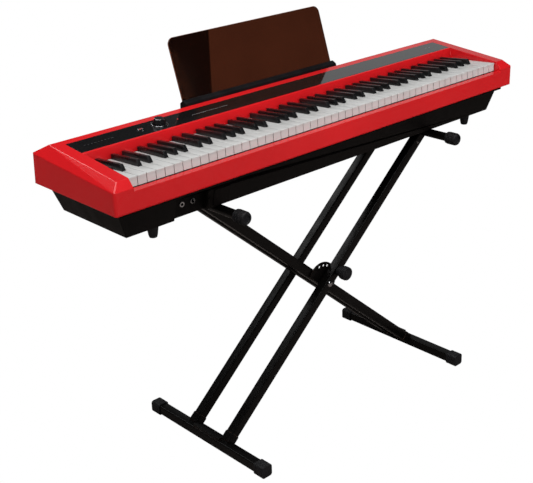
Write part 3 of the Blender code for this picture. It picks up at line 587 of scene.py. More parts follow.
def soften(obj, widths, segments=3, edge_material=-1):
    """Round an object's edges; widths is one radius, or a function that gives each edge's radius."""
    bevel = obj.modifiers.new("rounding", "BEVEL")
    bevel.segments = segments
    bevel.use_clamp_overlap = False
    bevel.harden_normals = True
    bevel.material = edge_material
    if not callable(widths):
        bevel.width = widths
        bevel.limit_method = "ANGLE"
        bevel.angle_limit = math.radians(SHARP)
        return obj
    bm = bmesh.new()
    bm.from_mesh(obj.data)
    layer = bm.edges.layers.float.new("bevel_weight_edge")
    radii = {edge: widths(edge) for edge in bm.edges if len(edge.link_faces) == 2}
    widest = max(radii.values())
    for edge, radius in radii.items():
        edge[layer] = radius / widest
    bm.to_mesh(obj.data)
    bm.free()
    bevel.width = widest
    bevel.limit_method = "WEIGHT"
    return obj


def where_sharp(radius, turn=SQUARE_TURN, longer=0.0):
    """Radii for soften(): radius on edges that turn more and run longer than given, none elsewhere."""
    return lambda edge: radius if edge.calc_face_angle() > turn and edge.calc_length() > longer else 0.0


def settle(obj, slot, *nodes, body=None):
    """Bake the modifiers into the mesh, then give the piece its body and hide its CAD nodes; slot is not
    used.
    """
    if obj.modifiers:
        mesh = bpy.data.meshes.new_from_object(obj.evaluated_get(bpy.context.evaluated_depsgraph_get()))
        obj.modifiers.clear()
        obj.data = mesh
    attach(obj, body or body_of(nodes[0]))
    if nodes:
        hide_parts(*nodes)
    return obj


# ---------------------------------------------------------------- geometry nodes
def row_tree():
    """Copies of a shape along a line, each stretched by a seeded random amount along X."""
    tree = bpy.data.node_groups.get("Row of copies")
    if tree:
        return tree
    tree = new_tree(
        "Row of copies",
        "GeometryNodeTree",
        [("Shape", "NodeSocketObject", None), ("Count", INT, 1), ("Start", VECTOR, None),
         ("Step", VECTOR, None), ("Shortest", FLOAT, 1.0), ("Seed", INT, 3),
         ("Material", "NodeSocketMaterial", None)],
        [("Geometry", "NodeSocketGeometry")],
    )
    wires = Wires(tree)
    given = wires.add("NodeGroupInput")
    line = wires.add("GeometryNodeMeshLine", {"mode": "OFFSET"}, {
        "Count": given["Count"], "Start Location": given["Start"], "Offset": given["Step"]})[0]
    shape = wires.add("GeometryNodeObjectInfo", {}, {"Object": given["Shape"]})["Geometry"]
    chance = wires.add("FunctionNodeRandomValue", {"data_type": "FLOAT"}, {
        2: given["Shortest"], 3: 1.0, "Seed": given["Seed"]})[1]
    scale = wires.add("ShaderNodeCombineXYZ", {}, {"X": chance, "Y": 1.0, "Z": 1.0})[0]
    copies = wires.add("GeometryNodeInstanceOnPoints", {}, {
        "Points": line, "Instance": shape, "Scale": scale})[0]
    solid = wires.add("GeometryNodeRealizeInstances", {}, {0: copies})[0]
    wires.end_painted(solid, given["Material"])
    return tree


def ring_tree():
    """Copies of a shape round an arc of a circle, each turned to face outwards."""
    tree = bpy.data.node_groups.get("Ring of copies")
    if tree:
        return tree
    tree = new_tree(
        "Ring of copies",
        "GeometryNodeTree",
        [("Shape", "NodeSocketObject", None), ("Count", INT, 12), ("Radius", FLOAT, 0.01),
         ("First angle", FLOAT, 0.0), ("Step angle", FLOAT, 0.5), ("Turn", VECTOR, None),
         ("Centre", VECTOR, None), ("Material", "NodeSocketMaterial", None)],
        [("Geometry", "NodeSocketGeometry")],
    )
    wires = Wires(tree)
    given = wires.add("NodeGroupInput")
    points = wires.add("GeometryNodeMeshLine", {"mode": "OFFSET"}, {"Count": given["Count"]})[0]
    index = wires.add("GeometryNodeInputIndex")[0]
    angle = wires.math("ADD", given["First angle"], wires.math("MULTIPLY", index, given["Step angle"]))
    across = wires.math("MULTIPLY", wires.math("COSINE", angle), given["Radius"])
    along = wires.math("MULTIPLY", wires.math("SINE", angle), given["Radius"])
    place = wires.add("ShaderNodeCombineXYZ", {}, {"X": across, "Y": along})[0]
    placed = wires.add("GeometryNodeSetPosition", {}, {"Geometry": points, "Position": place})[0]
    turn = wires.add("ShaderNodeCombineXYZ", {}, {"Z": angle})[0]
    shape = wires.add("GeometryNodeObjectInfo", {}, {"Object": given["Shape"]})["Geometry"]
    copies = wires.add("GeometryNodeInstanceOnPoints", {}, {
        "Points": placed, "Instance": shape, "Rotation": turn})[0]
    solid = wires.add("GeometryNodeRealizeInstances", {}, {0: copies})[0]
    moved = wires.add("GeometryNodeTransform", {}, {
        "Geometry": solid, "Rotation": given["Turn"], "Translation": given["Centre"]})[0]
    wires.end_painted(moved, given["Material"])
    return tree


def bead_tree():
    """A rippled bead: a small lump every so often along the edges of a closed path."""
    tree = bpy.data.node_groups.get("Weld bead")
    if tree:
        return tree
    tree = new_tree(
        "Weld bead",
        "GeometryNodeTree",
        [("Geometry", "NodeSocketGeometry", None), ("Size", FLOAT, 0.003), ("Spacing", FLOAT, 0.002),
         ("Seed", INT, 5), ("Material", "NodeSocketMaterial", None)],
        [("Geometry", "NodeSocketGeometry")],
    )
    wires = Wires(tree)
    given = wires.add("NodeGroupInput")
    curve = wires.add("GeometryNodeMeshToCurve", {}, {"Mesh": given["Geometry"]})[0]
    points = wires.add("GeometryNodeCurveToPoints", {"mode": "LENGTH"}, {
        "Curve": curve, "Length": given["Spacing"]})
    lump = wires.add("GeometryNodeMeshIcoSphere", {}, {"Radius": given["Size"], "Subdivisions": 1})[0]
    chance = wires.add("FunctionNodeRandomValue", {"data_type": "FLOAT"}, {
        2: 0.75, 3: 1.05, "Seed": given["Seed"]})[1]
    copies = wires.add("GeometryNodeInstanceOnPoints", {}, {
        "Points": points["Points"], "Instance": lump, "Rotation": points["Rotation"], "Scale": chance})[0]
    solid = wires.add("GeometryNodeRealizeInstances", {}, {0: copies})[0]
    wires.end_painted(solid, given["Material"])
    return tree


def grown(tree, inputs, path=None):
    """Run a geometry tree on a throwaway object and return the result as a bmesh."""
    host = bpy.data.objects.new("host", path or bpy.data.meshes.new("host"))
    bpy.context.scene.collection.objects.link(host)
    modifier = host.modifiers.new("grow", "NODES")
    modifier.node_group = tree
    sockets = {item.name: item.identifier for item in tree.interface.items_tree
               if item.item_type == "SOCKET" and item.in_out == "INPUT"}
    for label, value in inputs.items():
        modifier[sockets[label]] = value
    mesh = bpy.data.meshes.new_from_object(host.evaluated_get(bpy.context.evaluated_depsgraph_get()))
    host.modifiers.clear()
    bpy.data.objects.remove(host)
    bm = bmesh.new()
    bm.from_mesh(mesh)
    bpy.data.meshes.remove(mesh)
    return bm


def shape_object(bm):
    """A throwaway object whose mesh the trees copy."""
    mesh = bpy.data.meshes.new("shape")
    bm.to_mesh(mesh)
    bm.free()
    obj = bpy.data.objects.new("shape", mesh)
    bpy.context.scene.collection.objects.link(obj)
    return obj


def row(bm, count, start, step, material, shortest=1.0, seed=3):
    """Copies in a line; shortest below 1 lets each be that much shorter by chance."""
    shape = shape_object(bm)
    made = grown(row_tree(), {"Shape": shape, "Count": count, "Start": start, "Step": step,
                              "Shortest": shortest, "Seed": seed, "Material": material})
    bpy.data.objects.remove(shape)
    return made


def ring(bm, count, radius, place, axis, material, first=0.0, step=None):
    """Copies round a circle whose own Z looks along axis; a copy's X looks outwards."""
    shape = shape_object(bm)
    turn = Vector((0, 0, 1)).rotation_difference(Vector(axis)).to_euler()
    made = grown(ring_tree(), {"Shape": shape, "Count": count, "Radius": radius, "First angle": first,
                               "Step angle": step if step is not None else 2 * math.pi / count,
                               "Turn": turn[:], "Centre": tuple(place), "Material": material})
    bpy.data.objects.remove(shape)
    return made


# ---------------------------------------------------------------- upper case
CURVE_FOLD = 10.0       # degrees: folds below this are facets of the case's own curves
UPRIGHT_RISE = 0.03     # an upright corner rises more than this
CORNER_ZONE = 0.025     # width of the bevelled front corner at each end
SHORT_EDGE = 0.004      # edges below this stay as they are
STRIP_RIM = 0.0003
INNER_RIM = 0.0005


def case_radius(edge):
    """Large radius on the upright corners, middling on the front corner creases, small elsewhere."""
    settings = bpy.context.scene.piano_case
    first, second = (vert.co for vert in edge.verts)
    if edge.calc_face_angle() < math.radians(CURVE_FOLD):
        return 0.0
    wall = CASE_HIGH.x - 0.0001
    outer = abs(first.x) > wall and abs(second.x) > wall
    if outer and abs(first.z - second.z) > UPRIGHT_RISE and abs(first.y - second.y) < UPRIGHT_RISE:
        return settings.corner
    at_corner = min(abs(first.x), abs(second.x)) > CASE_HIGH.x - CORNER_ZONE
    if at_corner and max(first.y, second.y) < BASS_LOW.y:
        return settings.crease * 2 if abs(first.x - second.x) > 0.01 else settings.crease
    if edge.calc_length() < SHORT_EDGE:
        return 0.0
    if outer or max(first.z, second.z) > BASS_HIGH.z + 0.001:
        behind_front = min(first.y, second.y) > STRIP_LOW.y - 0.002
        before_back = max(first.y, second.y) < STRIP_HIGH.y + 0.002
        return STRIP_RIM if behind_front and before_back else settings.crease
    return INNER_RIM


def make_upper_case():
    case = new_piece("red_case", cad_copy("upper_case"), red_lacquer())
    soften(case, case_radius, segments=4)
    even = case.modifiers.new("even", "WEIGHTED_NORMAL")
    even.keep_sharp = True
    settle(case, "red_lacquer", "upper_case")


# ---------------------------------------------------------------- lower case
HOOKS = 8
HOOK_FIRST = -0.487
HOOK_PITCH = 0.152
HOOK_HEIGHT = 0.009
SCREW_ROWS = (0.052, 0.215)     # keyboard y of the two rows
SCREWS = 7
SCREW_FIRST = -0.51
SCREW_PITCH = 0.17
FRONT_LEAN = 0.228              # how far the lower front comes forward for each unit down
RIB_RADIUS = 0.0028
RIB_LENGTH = 0.024


def lower_radius(edge):
    """Rounder upright corners at the two ends, a fine radius on the other long edges."""
    if edge.calc_face_angle() < math.radians(SLIGHT) or edge.calc_length() < 0.006:
        return 0.0
    upright = abs(edge.verts[0].co.z - edge.verts[1].co.z) > 0.02
    return 0.003 if upright and abs(edge.verts[0].co.x) > 0.55 else 0.0007


def screw_head(radius, height):
    """A countersunk cross-head screw seen from below, its head looking down."""
    bm = turned([(0.0, 0.0), (0.0, radius * 0.8), (height * 0.5, radius), (height, radius), (height, 0.0)],
                (0, 0, -height), (0, 0, 1), 16)
    for long_half, wide_half in ((0.6, 0.12), (0.12, 0.6)):
        join_copy(bm, block((-radius * long_half, -radius * wide_half, -height * 1.1),
                            (radius * long_half, radius * wide_half, -height * 0.9)))
    return bm


def make_lower_case():
    settings = bpy.context.scene.piano_case
    low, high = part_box("lower_case")
    shell = new_piece("black_lower_case", cad_copy("lower_case"), grained_plastic())
    soften(shell, lower_radius)
    settle(shell, "black_plastic", "lower_case")

    outline = rounded_outline(settings.hook, HOOK_HEIGHT, 0.0008, 2)
    hook = prism(outline, lambda a, b, t: (a, t, b), -0.0006, 0.0014)
    first = (HOOK_FIRST, low.y - 0.0002, high.z - 0.0075)
    hooks = row(hook, HOOKS, first, (HOOK_PITCH, 0, 0), plain_plastic())
    settle(new_piece("case_hooks", hooks, plain_plastic()), "black_plastic", body="piano")

    rows = bmesh.new()
    for y in SCREW_ROWS:
        start = at(SCREW_FIRST, y, low.z - TOP_Z + 0.0002)
        join_copy(rows, row(screw_head(0.0034, 0.0012), SCREWS, start, (SCREW_PITCH, 0, 0), dull_metal()))
    settle(new_piece("case_screws", rows, dull_metal()), "bright_steel", body="piano")

    nose = arc((RIB_RADIUS, 0.0), RIB_RADIUS, 180, 90, 6)[1:]
    rib = turned([(0.0, 0.0), *nose, (RIB_LENGTH, RIB_RADIUS), (RIB_LENGTH, 0.0)],
                 at(-0.396, 0.0185, -0.128), (0, -FRONT_LEAN, 1), 20)
    pad = prism(rounded_outline(0.046, 0.040, 0.003, 3),
                lambda a, b, t: at(-0.3585 + a, 0.0149 + t - b * FRONT_LEAN, -0.1095 + b), -0.0014, 0.0020)
    settle(new_piece("front_rib_and_pad", join_copy(rib, pad), grained_plastic()), "black_plastic",
           body="piano")


# ---------------------------------------------------------------- control strip
FILM = 0.00012          # thickness of a printed mark
STRIP_EDGE = 0.0003     # rounding of the strip's rim
STRIP_FOLD = 0.7        # radians: the strip's rim turns more than this
DIAL_TICKS = 11
TICK_RING = 0.0200      # radius of the ring of ticks round the dial
KEY_HEIGHT = 0.0016     # the power key's top over the strip
LAMP_RADIUS = 0.0015


def on_strip(across, back, lift):
    """A point over the strip: across in X, back along its slope from its middle line."""
    return Vector((across, STRIP_MIDDLE, STRIP_TOP)) + DECK_BACK * back + DECK_UP * lift


def dash(long_side, wide, thick):
    """One printed bar with round ends, lying on the strip."""
    return prism(rounded_outline(long_side, wide, wide * 0.49, 3),
                 lambda a, b, t: Vector((a, 0, 0)) + DECK_BACK * b + DECK_UP * t, 0.0, thick)


def mark_row(size, count, start, pitch, ink, shortest=1.0, seed=3):
    """Printed bars of one size, evenly spaced along the strip from start."""
    return row(dash(*size, FILM), count, on_strip(*start, 0.0), (pitch, 0, 0), ink, shortest, seed)


def make_control_strip():
    strip = new_piece("control_strip", cad_copy("control_panel"), gloss_strip())
    soften(strip, where_sharp(STRIP_EDGE, STRIP_FOLD, 0.02))
    settle(strip, "gloss_black", "control_panel")

    ink = printed_ink()
    marks = mark_row((0.0052, 0.0010), 17, (-0.290, 0.0), 0.0064, ink, 0.45, 11)
    join_copy(marks, mark_row((0.0078, 0.0011), 2, (0.553, 0.004), 0.014, ink, 0.5, 4))
    join_copy(marks, mark_row((0.0040, 0.0008), 1, (BUTTON_AT.x, -0.0085), 0.01, ink))
    tick = block((-0.0008, -0.0003, 0.0), (0.0008, 0.0003, FILM))
    join_copy(marks, ring(tick, DIAL_TICKS, TICK_RING, on_strip(KNOB_AT.x, 0.0, 0.0), DECK_UP, ink,
                          math.radians(-60), math.radians(30)))
    settle(new_piece("printed_marks", marks, ink), None, body="piano")
    faint = mark_row((0.0066, 0.0010), 9, (-0.585, 0.0), 0.0088, faint_ink(), 0.5, 6)
    settle(new_piece("faint_marks", faint, faint_ink()), None, body="piano")


def make_knob():
    settings = bpy.context.scene.piano_strip
    knob = new_piece("volume_dial", cad_copy("volume_knob"), plain_plastic(), bright_metal())
    soften(knob, where_sharp(settings.edge, math.radians(25), 0.005), 2, edge_material=1)
    inside, outside = 0.0170, 0.0186
    profile = [(0.0003, inside), (0.0003, outside), (0.0011, outside),
               *arc((0.0011, outside - 0.0008), 0.0008, 80, 10, 3), (0.0017, inside), (0.0003, inside)]
    skirt = turned(profile, on_strip(KNOB_AT.x, 0.0, 0.0), DECK_UP, 48)
    bmesh.ops.remove_doubles(skirt, verts=skirt.verts, dist=MERGE)
    outward(skirt)
    settle(knob, "gloss_black", "volume_knob")
    settle(new_piece("dial_skirt", skirt, bright_metal()), "bright_steel", body="volume_knob")


def make_button_and_lamp():
    button = new_piece("power_key", cad_copy("power_button"), bright_metal())
    soften(button, 0.0006, 3)
    settle(button, "bright_steel", "power_button")
    bar = dash(0.0095, 0.0016, 0.00015)
    bmesh.ops.translate(bar, verts=bar.verts, vec=on_strip(BUTTON_AT.x, 0.0, KEY_HEIGHT))
    settle(new_piece("power_key_mark", bar, lamp_lens()), "lamp_red", body="power_button")
    start = on_strip(centre("status_led").x, 0.0, -0.006)
    shank = 0.0060
    profile = [(0.0, 0.0), (0.0, LAMP_RADIUS), (shank, LAMP_RADIUS),
               *arc((shank, 0.0), LAMP_RADIUS, 70, 10, 3), (shank + LAMP_RADIUS, 0.0)]
    lamp = turned(profile, start, DECK_UP, 20)
    settle(new_piece("status_lamp", lamp, lamp_lens()), "lamp_red", "status_led")


# ---------------------------------------------------------------- music rest
REST_THICKNESS = 0.003
CORNER_STEPS = 12


def make_music_rest():
    settings = bpy.context.scene.piano_rest
    low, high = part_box("music_rest")
    up = REST_LEAN
    out = Vector((0, up.z, -up.y))
    tall = (high.z - low.z - REST_THICKNESS * up.y) / up.z
    side_out = REST_THICKNESS / 2
    foot = Vector((0, low.y + side_out * up.z, low.z + side_out * up.y))
    half = high.x
    corner = settings.corner
    outline = [(-half, 0.0), (half, 0.0)]
    for side, start in ((1, 0.0), (-1, math.pi / 2)):
        for step in range(CORNER_STEPS + 1):
            angle = start + math.pi / 2 * step / CORNER_STEPS
            outline.append((side * (half - corner) + corner * math.cos(angle),
                            tall - corner + corner * math.sin(angle)))
    sheet = prism(outline, lambda a, b, t: foot + Vector((a, 0, 0)) + up * b + out * t, -side_out, side_out)
    rest = new_piece("smoked_rest", sheet, smoked_acrylic(), polished_edge())
    soften(rest, 0.0006, 2, edge_material=1)
    settle(rest, "smoked_acrylic", "music_rest")

    holder = new_piece("rest_rail", cad_copy("rest_holder"), plain_plastic())
    soften(holder, where_sharp(0.0008, math.radians(SLIGHT), 0.002), 2)
    settle(holder, "black_plastic", "rest_holder")


# ---------------------------------------------------------------- keys
HEAD = 0.049            # length of a white key's wide front part
SLOT = 0.0111           # opening that the white keys leave for a black one
TOP_PLATE = 0.0030
PLATE_CHAMFER = 0.0004  # height of the slope from the top plate in to the front
SIDE_STEP = 0.0003      # how far the key's body is inside its top plate
POST_REACH = 0.001      # the top plate's upright front corners stand no further back than this
POST_HEIGHT = 0.001     # and are taller than this
BLACK_OFFSETS = (0.02115, 0.04935, 0.09064, 0.1175, 0.14436)
BLACK_HOME = {0: 0, 1: 1, 3: 2, 4: 3, 5: 4}
BLACK_FOOT = -0.014     # lowest point of a black key
NECK_TOP = -0.0005      # the low part under the flap
TAIL_TOP = 0.0084
RAIL_TOP = 0.0026
NOSE_SLANT = 0.0068     # how far the nose leans back from its foot to its top
WHITE_BODIES = ("c", "d", "e", "f", "g", "a", "b")
BLACK_BODIES = ("cs", "ds", "fs", "gs", "as")


def white_key(place, has_left=True, has_right=True):
    """One white key; its own left edge is x = 0. place counts from C in the octave."""
    left, right = KEY_SPACE / 2, KEY_PITCH - KEY_SPACE / 2
    tail_left, tail_right = left, right
    if has_right and place in BLACK_HOME:
        tail_right = min(right, BLACK_OFFSETS[BLACK_HOME[place]] - place * KEY_PITCH - SLOT / 2)
    if has_left and place - 1 in BLACK_HOME:
        tail_left = max(left, BLACK_OFFSETS[BLACK_HOME[place - 1]] - place * KEY_PITCH + SLOT / 2)
    settings = bpy.context.scene.piano_keys
    levels = ((0.0, 0.0, 0.0), (-TOP_PLATE, 0.0, 0.0),
              (-TOP_PLATE - PLATE_CHAMFER, settings.lip, SIDE_STEP), (-KEY_DEPTH, settings.lip, SIDE_STEP))
    bm = bmesh.new()
    rings = []
    for z, front, side in levels:
        outline = [(tail_right - side, KEY_BACK)]
        if tail_right < right:
            outline += [(tail_right - side, HEAD - side), (right - side, HEAD - side)]
        outline += [(right - side, front), (left + side, front)]
        if tail_left > left:
            outline += [(left + side, HEAD - side), (tail_left + side, HEAD - side)]
        outline.append((tail_left + side, KEY_BACK))
        rings.append([bm.verts.new((x, y, z)) for x, y in outline])
    bm.faces.new(rings[0])
    bm.faces.new(list(reversed(rings[-1])))
    for upper, under in zip(rings, rings[1:]):
        for index in range(len(upper)):
            after = (index + 1) % len(upper)
            bm.faces.new((upper[index], upper[after], under[after], under[index]))
    outward(bm)
    top = -MERGE
    rim = [edge for edge in bm.edges if min(vert.co.z for vert in edge.verts) > top]
    posts = [edge for edge in bm.edges
             if max(vert.co.z for vert in edge.verts) > top
             and max(vert.co.y for vert in edge.verts) < POST_REACH
             and abs(edge.verts[0].co.z - edge.verts[1].co.z) > POST_HEIGHT]
    bmesh.ops.bevel(bm, geom=rim + posts, offset=settings.round, segments=2, profile=0.5, affect="EDGES")
    return tilt_keys(bm)


def black_key(width=0.0095, front=0.050, rail=0.183, top=0.0132, fall=0.03, end=0.1477, neck=0.0108):
    """One black key round x = 0: long sloped nose, narrower rounded top, low neck under the flap, tail."""
    crest = front + NOSE_SLANT
    back = KEY_BACK - 0.001
    profile = [(front + 0.0010, BLACK_FOOT), (front, 0.0006), (front + 0.0012, 0.0032), (crest, top),
               (end, top - (end - crest) * fall), (end, NECK_TOP), (end + neck, NECK_TOP),
               (end + neck + 0.003, TAIL_TOP), (back, TAIL_TOP), (back, RAIL_TOP), (rail, RAIL_TOP),
               (rail, BLACK_FOOT)]
    foot_half = width / 2
    top_half = foot_half - 0.0008
    bm = prism(profile, lambda a, b, t: (t * (top_half if b > top / 2 else foot_half), a, b), -1, 1)
    upper = [edge for edge in bm.edges
             if min(vert.co.z for vert in edge.verts) > 0.003
             and max(vert.co.y for vert in edge.verts) < end + MERGE
             and edge.calc_face_angle() > math.radians(CURVE_FOLD)]
    bmesh.ops.bevel(bm, geom=upper, offset=0.0011, segments=3, profile=0.5, affect="EDGES",
                    clamp_overlap=True)
    return tilt_keys(bm)


def make_white_keys():
    """Two banks, each key shape of an octave repeated along the bank, and one free octave between."""
    banks = {"bass": (0, MIDDLE_C - 1), "treble": (MIDDLE_C + OCTAVE, WHITE_KEYS - 1)}
    material = key_white()
    for bank, (first, last) in banks.items():
        keys = bmesh.new()
        for place in range(OCTAVE):
            members = [key for key in range(first, last + 1) if (key - FIRST_C) % OCTAVE == place]
            plain = [key for key in members if key not in (0, WHITE_KEYS - 1)]
            odd = [key for key in members if key in (0, WHITE_KEYS - 1)]
            if plain:
                join_copy(keys, row(white_key(place), len(plain), (KEYS_LEFT + plain[0] * KEY_PITCH, 0, 0),
                                    (OCTAVE * KEY_PITCH, 0, 0), material))
            for key in odd:
                join_copy(keys, row(white_key(place, key != 0, key == 0), 1,
                                    (KEYS_LEFT + key * KEY_PITCH, 0, 0), (1, 0, 0), material))
        settle(new_piece(f"ivory_keys_{bank}", keys, material), "key_white", f"white_keys_{bank}")
    for place, letter in enumerate(WHITE_BODIES):
        key = white_key(place)
        bmesh.ops.translate(key, verts=key.verts, vec=(KEYS_LEFT + (MIDDLE_C + place) * KEY_PITCH, 0, 0))
        settle(new_piece(f"ivory_key_{letter}4", key, material), "key_white", f"key_{letter}4")


def make_black_keys():
    material = key_black()
    octaves = {"bass": [-1, 0, 1, 2], "treble": [4, 5, 6]}
    last_x = KEYS_LEFT + (WHITE_KEYS - 1) * KEY_PITCH
    for bank, numbers in octaves.items():
        keys = bmesh.new()
        for offset in BLACK_OFFSETS:
            spots = [KEYS_LEFT + (FIRST_C + number * OCTAVE) * KEY_PITCH + offset for number in numbers]
            spots = [x for x in spots if KEYS_LEFT < x < last_x]
            join_copy(keys, row(black_key(), len(spots), (spots[0], 0, 0),
                                (OCTAVE * KEY_PITCH, 0, 0), material))
        settle(new_piece(f"ebony_keys_{bank}", keys, material), "key_black", f"black_keys_{bank}")
    for letter, offset in zip(BLACK_BODIES, BLACK_OFFSETS):
        key = black_key()
        bmesh.ops.translate(key, verts=key.verts, vec=(KEYS_LEFT + MIDDLE_C * KEY_PITCH + offset, 0, 0))
        settle(new_piece(f"ebony_key_{letter}4", key, material), "key_black", f"key_{letter}4")


# ---------------------------------------------------------------- sockets, feet and works
def make_sockets():
    for side in ("left", "right"):
        node = f"headphone_jack_{side}"
        low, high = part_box(node)
        middle = (low + high) / 2
        start = (middle.x, low.y, middle.z)
        depth = high.y - low.y
        bore, barrel, flange = 0.0031, 0.0048, 0.0064
        profile = [(depth * 0.7, 0.0), (depth * 0.7, bore), (0.0006, bore), (0.0, 0.0036),
                   *arc((0.0009, 0.0056), 0.0009, 200, 90, 4), (0.0016, flange), (0.0016, barrel),
                   (depth, barrel), (depth, 0.0)]
        settle(new_piece(f"phones_socket_{side}", turned(profile, start, (0, 1, 0), 36), bright_metal()),
               "bright_steel", node)
    for node in ("power_inlet", "usb_port", "pedal_jack"):
        piece = new_piece(f"{node}_body", cad_copy(node), plain_plastic())
        soften(piece, lambda edge: 0.0005 if edge.calc_length() > 0.008 else 0.0, 2)
        settle(piece, "black_plastic", node)


def make_rubber_feet():
    for depth in ("front", "back"):
        for side in ("left", "right"):
            node = f"rubber_foot_{depth}_{side}"
            low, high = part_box(node)
            tall, wide = high.z - low.z, (high.x - low.x) / 2
            lip, hollow = 0.0012, 0.0030
            profile = [(0.0, 0.0), (0.0, wide), (lip, wide), (0.0020, wide * 0.96),
                       (tall * 0.77, wide * 0.76), (tall * 0.92, wide * 0.67),
                       *arc((tall - lip, wide * 0.56), lip, 60, 0, 3), (tall, wide * 0.34),
                       (tall - hollow, wide * 0.30), (tall - hollow, 0.0)]
            middle = (low + high) / 2
            foot = turned(profile, (middle.x, middle.y, high.z), (0, 0, -1), 40)
            settle(new_piece(f"foot_{depth}_{side}", foot, rubber()), "black_rubber", node)


def dress_inner_works():
    """The CAD nodes that stay shown get finished materials."""
    finishes = {
        "key_frame": dull_metal, "key_pivot_rod": bright_metal, "volume_pot": dull_metal,
        "main_board": circuit_board, "sensor_board": circuit_board,
        "speaker_left": plain_plastic, "speaker_right": plain_plastic,
    }
    for node, make in finishes.items():
        mesh = frame["nodes"][node].data
        mesh.materials.clear()
        mesh.materials.append(make())


# ---------------------------------------------------------------- stand
TUBE = 0.025
TUBE_CORNER = 0.0032
TUBE_INSET = 0.004      # a tube starts and ends this far from the middles of its bars
SLEEVE = 0.0285
SLEEVE_FROM, SLEEVE_TO = 0.012, 0.034
BEAD_OUT = 1.03         # the weld bead's path, as a multiple of the tube's outline
BRIDGE_SINK = 0.001
BRIDGE_RISE = 0.006
CAP_RIB_HALF = 0.0007
FLUTE_HALF = 0.0011
FLUTES = 18
RIVET_FROM_ARM = 0.034


def tube_line(outer):
    """Foot point, arm point, unit direction and upward normal of the outer or inner tubes."""
    ends = (OUTER_FOOT, OUTER_ARM) if outer else (INNER_FOOT, INNER_ARM)
    foot, arm = (Vector((end.x, 0, end.z)) for end in ends)
    along = (arm - foot).normalized()
    normal = Vector((-along.z, 0, along.x))
    return foot, arm, along, normal if normal.z > 0 else -normal


def make_tubes():
    settings = bpy.context.scene.piano_stand
    steel = painted_steel()
    for name in ("outer_tube_front", "outer_tube_back", "inner_tube_front", "inner_tube_back"):
        foot, arm, along, normal = tube_line(name.startswith("outer"))
        y = centre(name).y
        reach = (arm - foot).length

        def place(a, b, t):
            return foot + along * t + normal * a + Vector((0, y + b, 0))

        tube = prism(rounded_outline(TUBE, TUBE, TUBE_CORNER, 6), place, TUBE_INSET, reach - TUBE_INSET)
        sleeve = rounded_outline(SLEEVE, SLEEVE, TUBE_CORNER * 1.3, 6)
        join_copy(tube, prism(sleeve, place, SLEEVE_FROM, SLEEVE_TO))
        loop = bmesh.new()
        outline = [loop.verts.new(place(a * BEAD_OUT, b * BEAD_OUT, SLEEVE_TO))
                   for a, b in rounded_outline(TUBE, TUBE, TUBE_CORNER, 3)]
        for index, vert in enumerate(outline):
            loop.edges.new((vert, outline[(index + 1) % len(outline)]))
        path = bpy.data.meshes.new("path")
        loop.to_mesh(path)
        loop.free()
        join_copy(tube, grown(bead_tree(), {"Size": settings.bead * 0.5, "Spacing": settings.bead * 0.55,
                                            "Seed": 5, "Material": steel}, path))
        piece = new_piece(f"square_{name}", tube, steel)
        soften(piece, where_sharp(0.0005, longer=0.0012), 2)
        settle(piece, "black_steel", name)


def make_foot_bars():
    steel = painted_steel()
    for side, tubes in (("left", "outer"), ("right", "inner")):
        node = f"{side}_foot_bar"
        low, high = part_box(node)
        middle = (low + high) / 2
        size = high.z - low.z
        bar = prism(rounded_outline(size, size, TUBE_CORNER, 6),
                    lambda a, b, t: (middle.x + a, t, middle.z + b), low.y, high.y)
        spread = centre(f"{tubes}_tube_back").y - TUBE / 2
        bridge = prism(rounded_outline(size * 0.84, 2 * spread, 0.003, 4),
                       lambda a, b, t: (middle.x + a, b, t), high.z - BRIDGE_SINK, high.z + BRIDGE_RISE)
        piece = new_piece(f"square_{node}", join_copy(bar, bridge), steel)
        soften(piece, where_sharp(0.0008), 2)
        settle(piece, "black_steel", node)
        for end, sign in (("front", -1), ("back", 1)):
            make_foot_cap(f"{node}_cap_{end}", sign)


def make_foot_cap(node, sign):
    """A push-on square cap: a collar, a narrow groove and a barrel with a rounded end."""
    low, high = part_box(node)
    middle = (low + high) / 2
    long_side = high.y - low.y
    size = high.z - low.z
    start = low.y if sign > 0 else high.y
    groove = 0.0014
    # each band: where it starts and ends, and how much narrower it is
    bands = ((0.0, 0.0070, 0.0), (0.0065, 0.0100, groove), (0.0092, long_side, 0.0))
    cap = bmesh.new()
    for near, far, inset in bands:
        outline = rounded_outline(size - inset, size - inset, 0.007 - inset / 2, 6)
        band = prism(outline, lambda a, b, t: (middle.x + a, start + sign * t, middle.z + b), near, far)
        join_copy(cap, band)
    piece = new_piece(f"{node}_rubber", cap, rubber())
    soften(piece, where_sharp(0.0012), 3)
    settle(piece, "black_rubber", node)


def make_arms():
    for side in ("left", "right"):
        node = f"{side}_arm"
        low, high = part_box(node)
        middle = (low + high) / 2
        radius = (high.z - low.z) / 2
        long_side = high.y - low.y
        arm = turned([(0.0, 0.0), (0.0, radius), (long_side, radius), (long_side, 0.0)],
                     (middle.x, low.y, middle.z), (0, 1, 0), 48)
        settle(new_piece(f"round_{node}", arm, painted_steel()), "black_steel", node)
        for end, sign in (("front", -1), ("back", 1)):
            make_arm_cap(f"{node}_cap_{end}", sign)


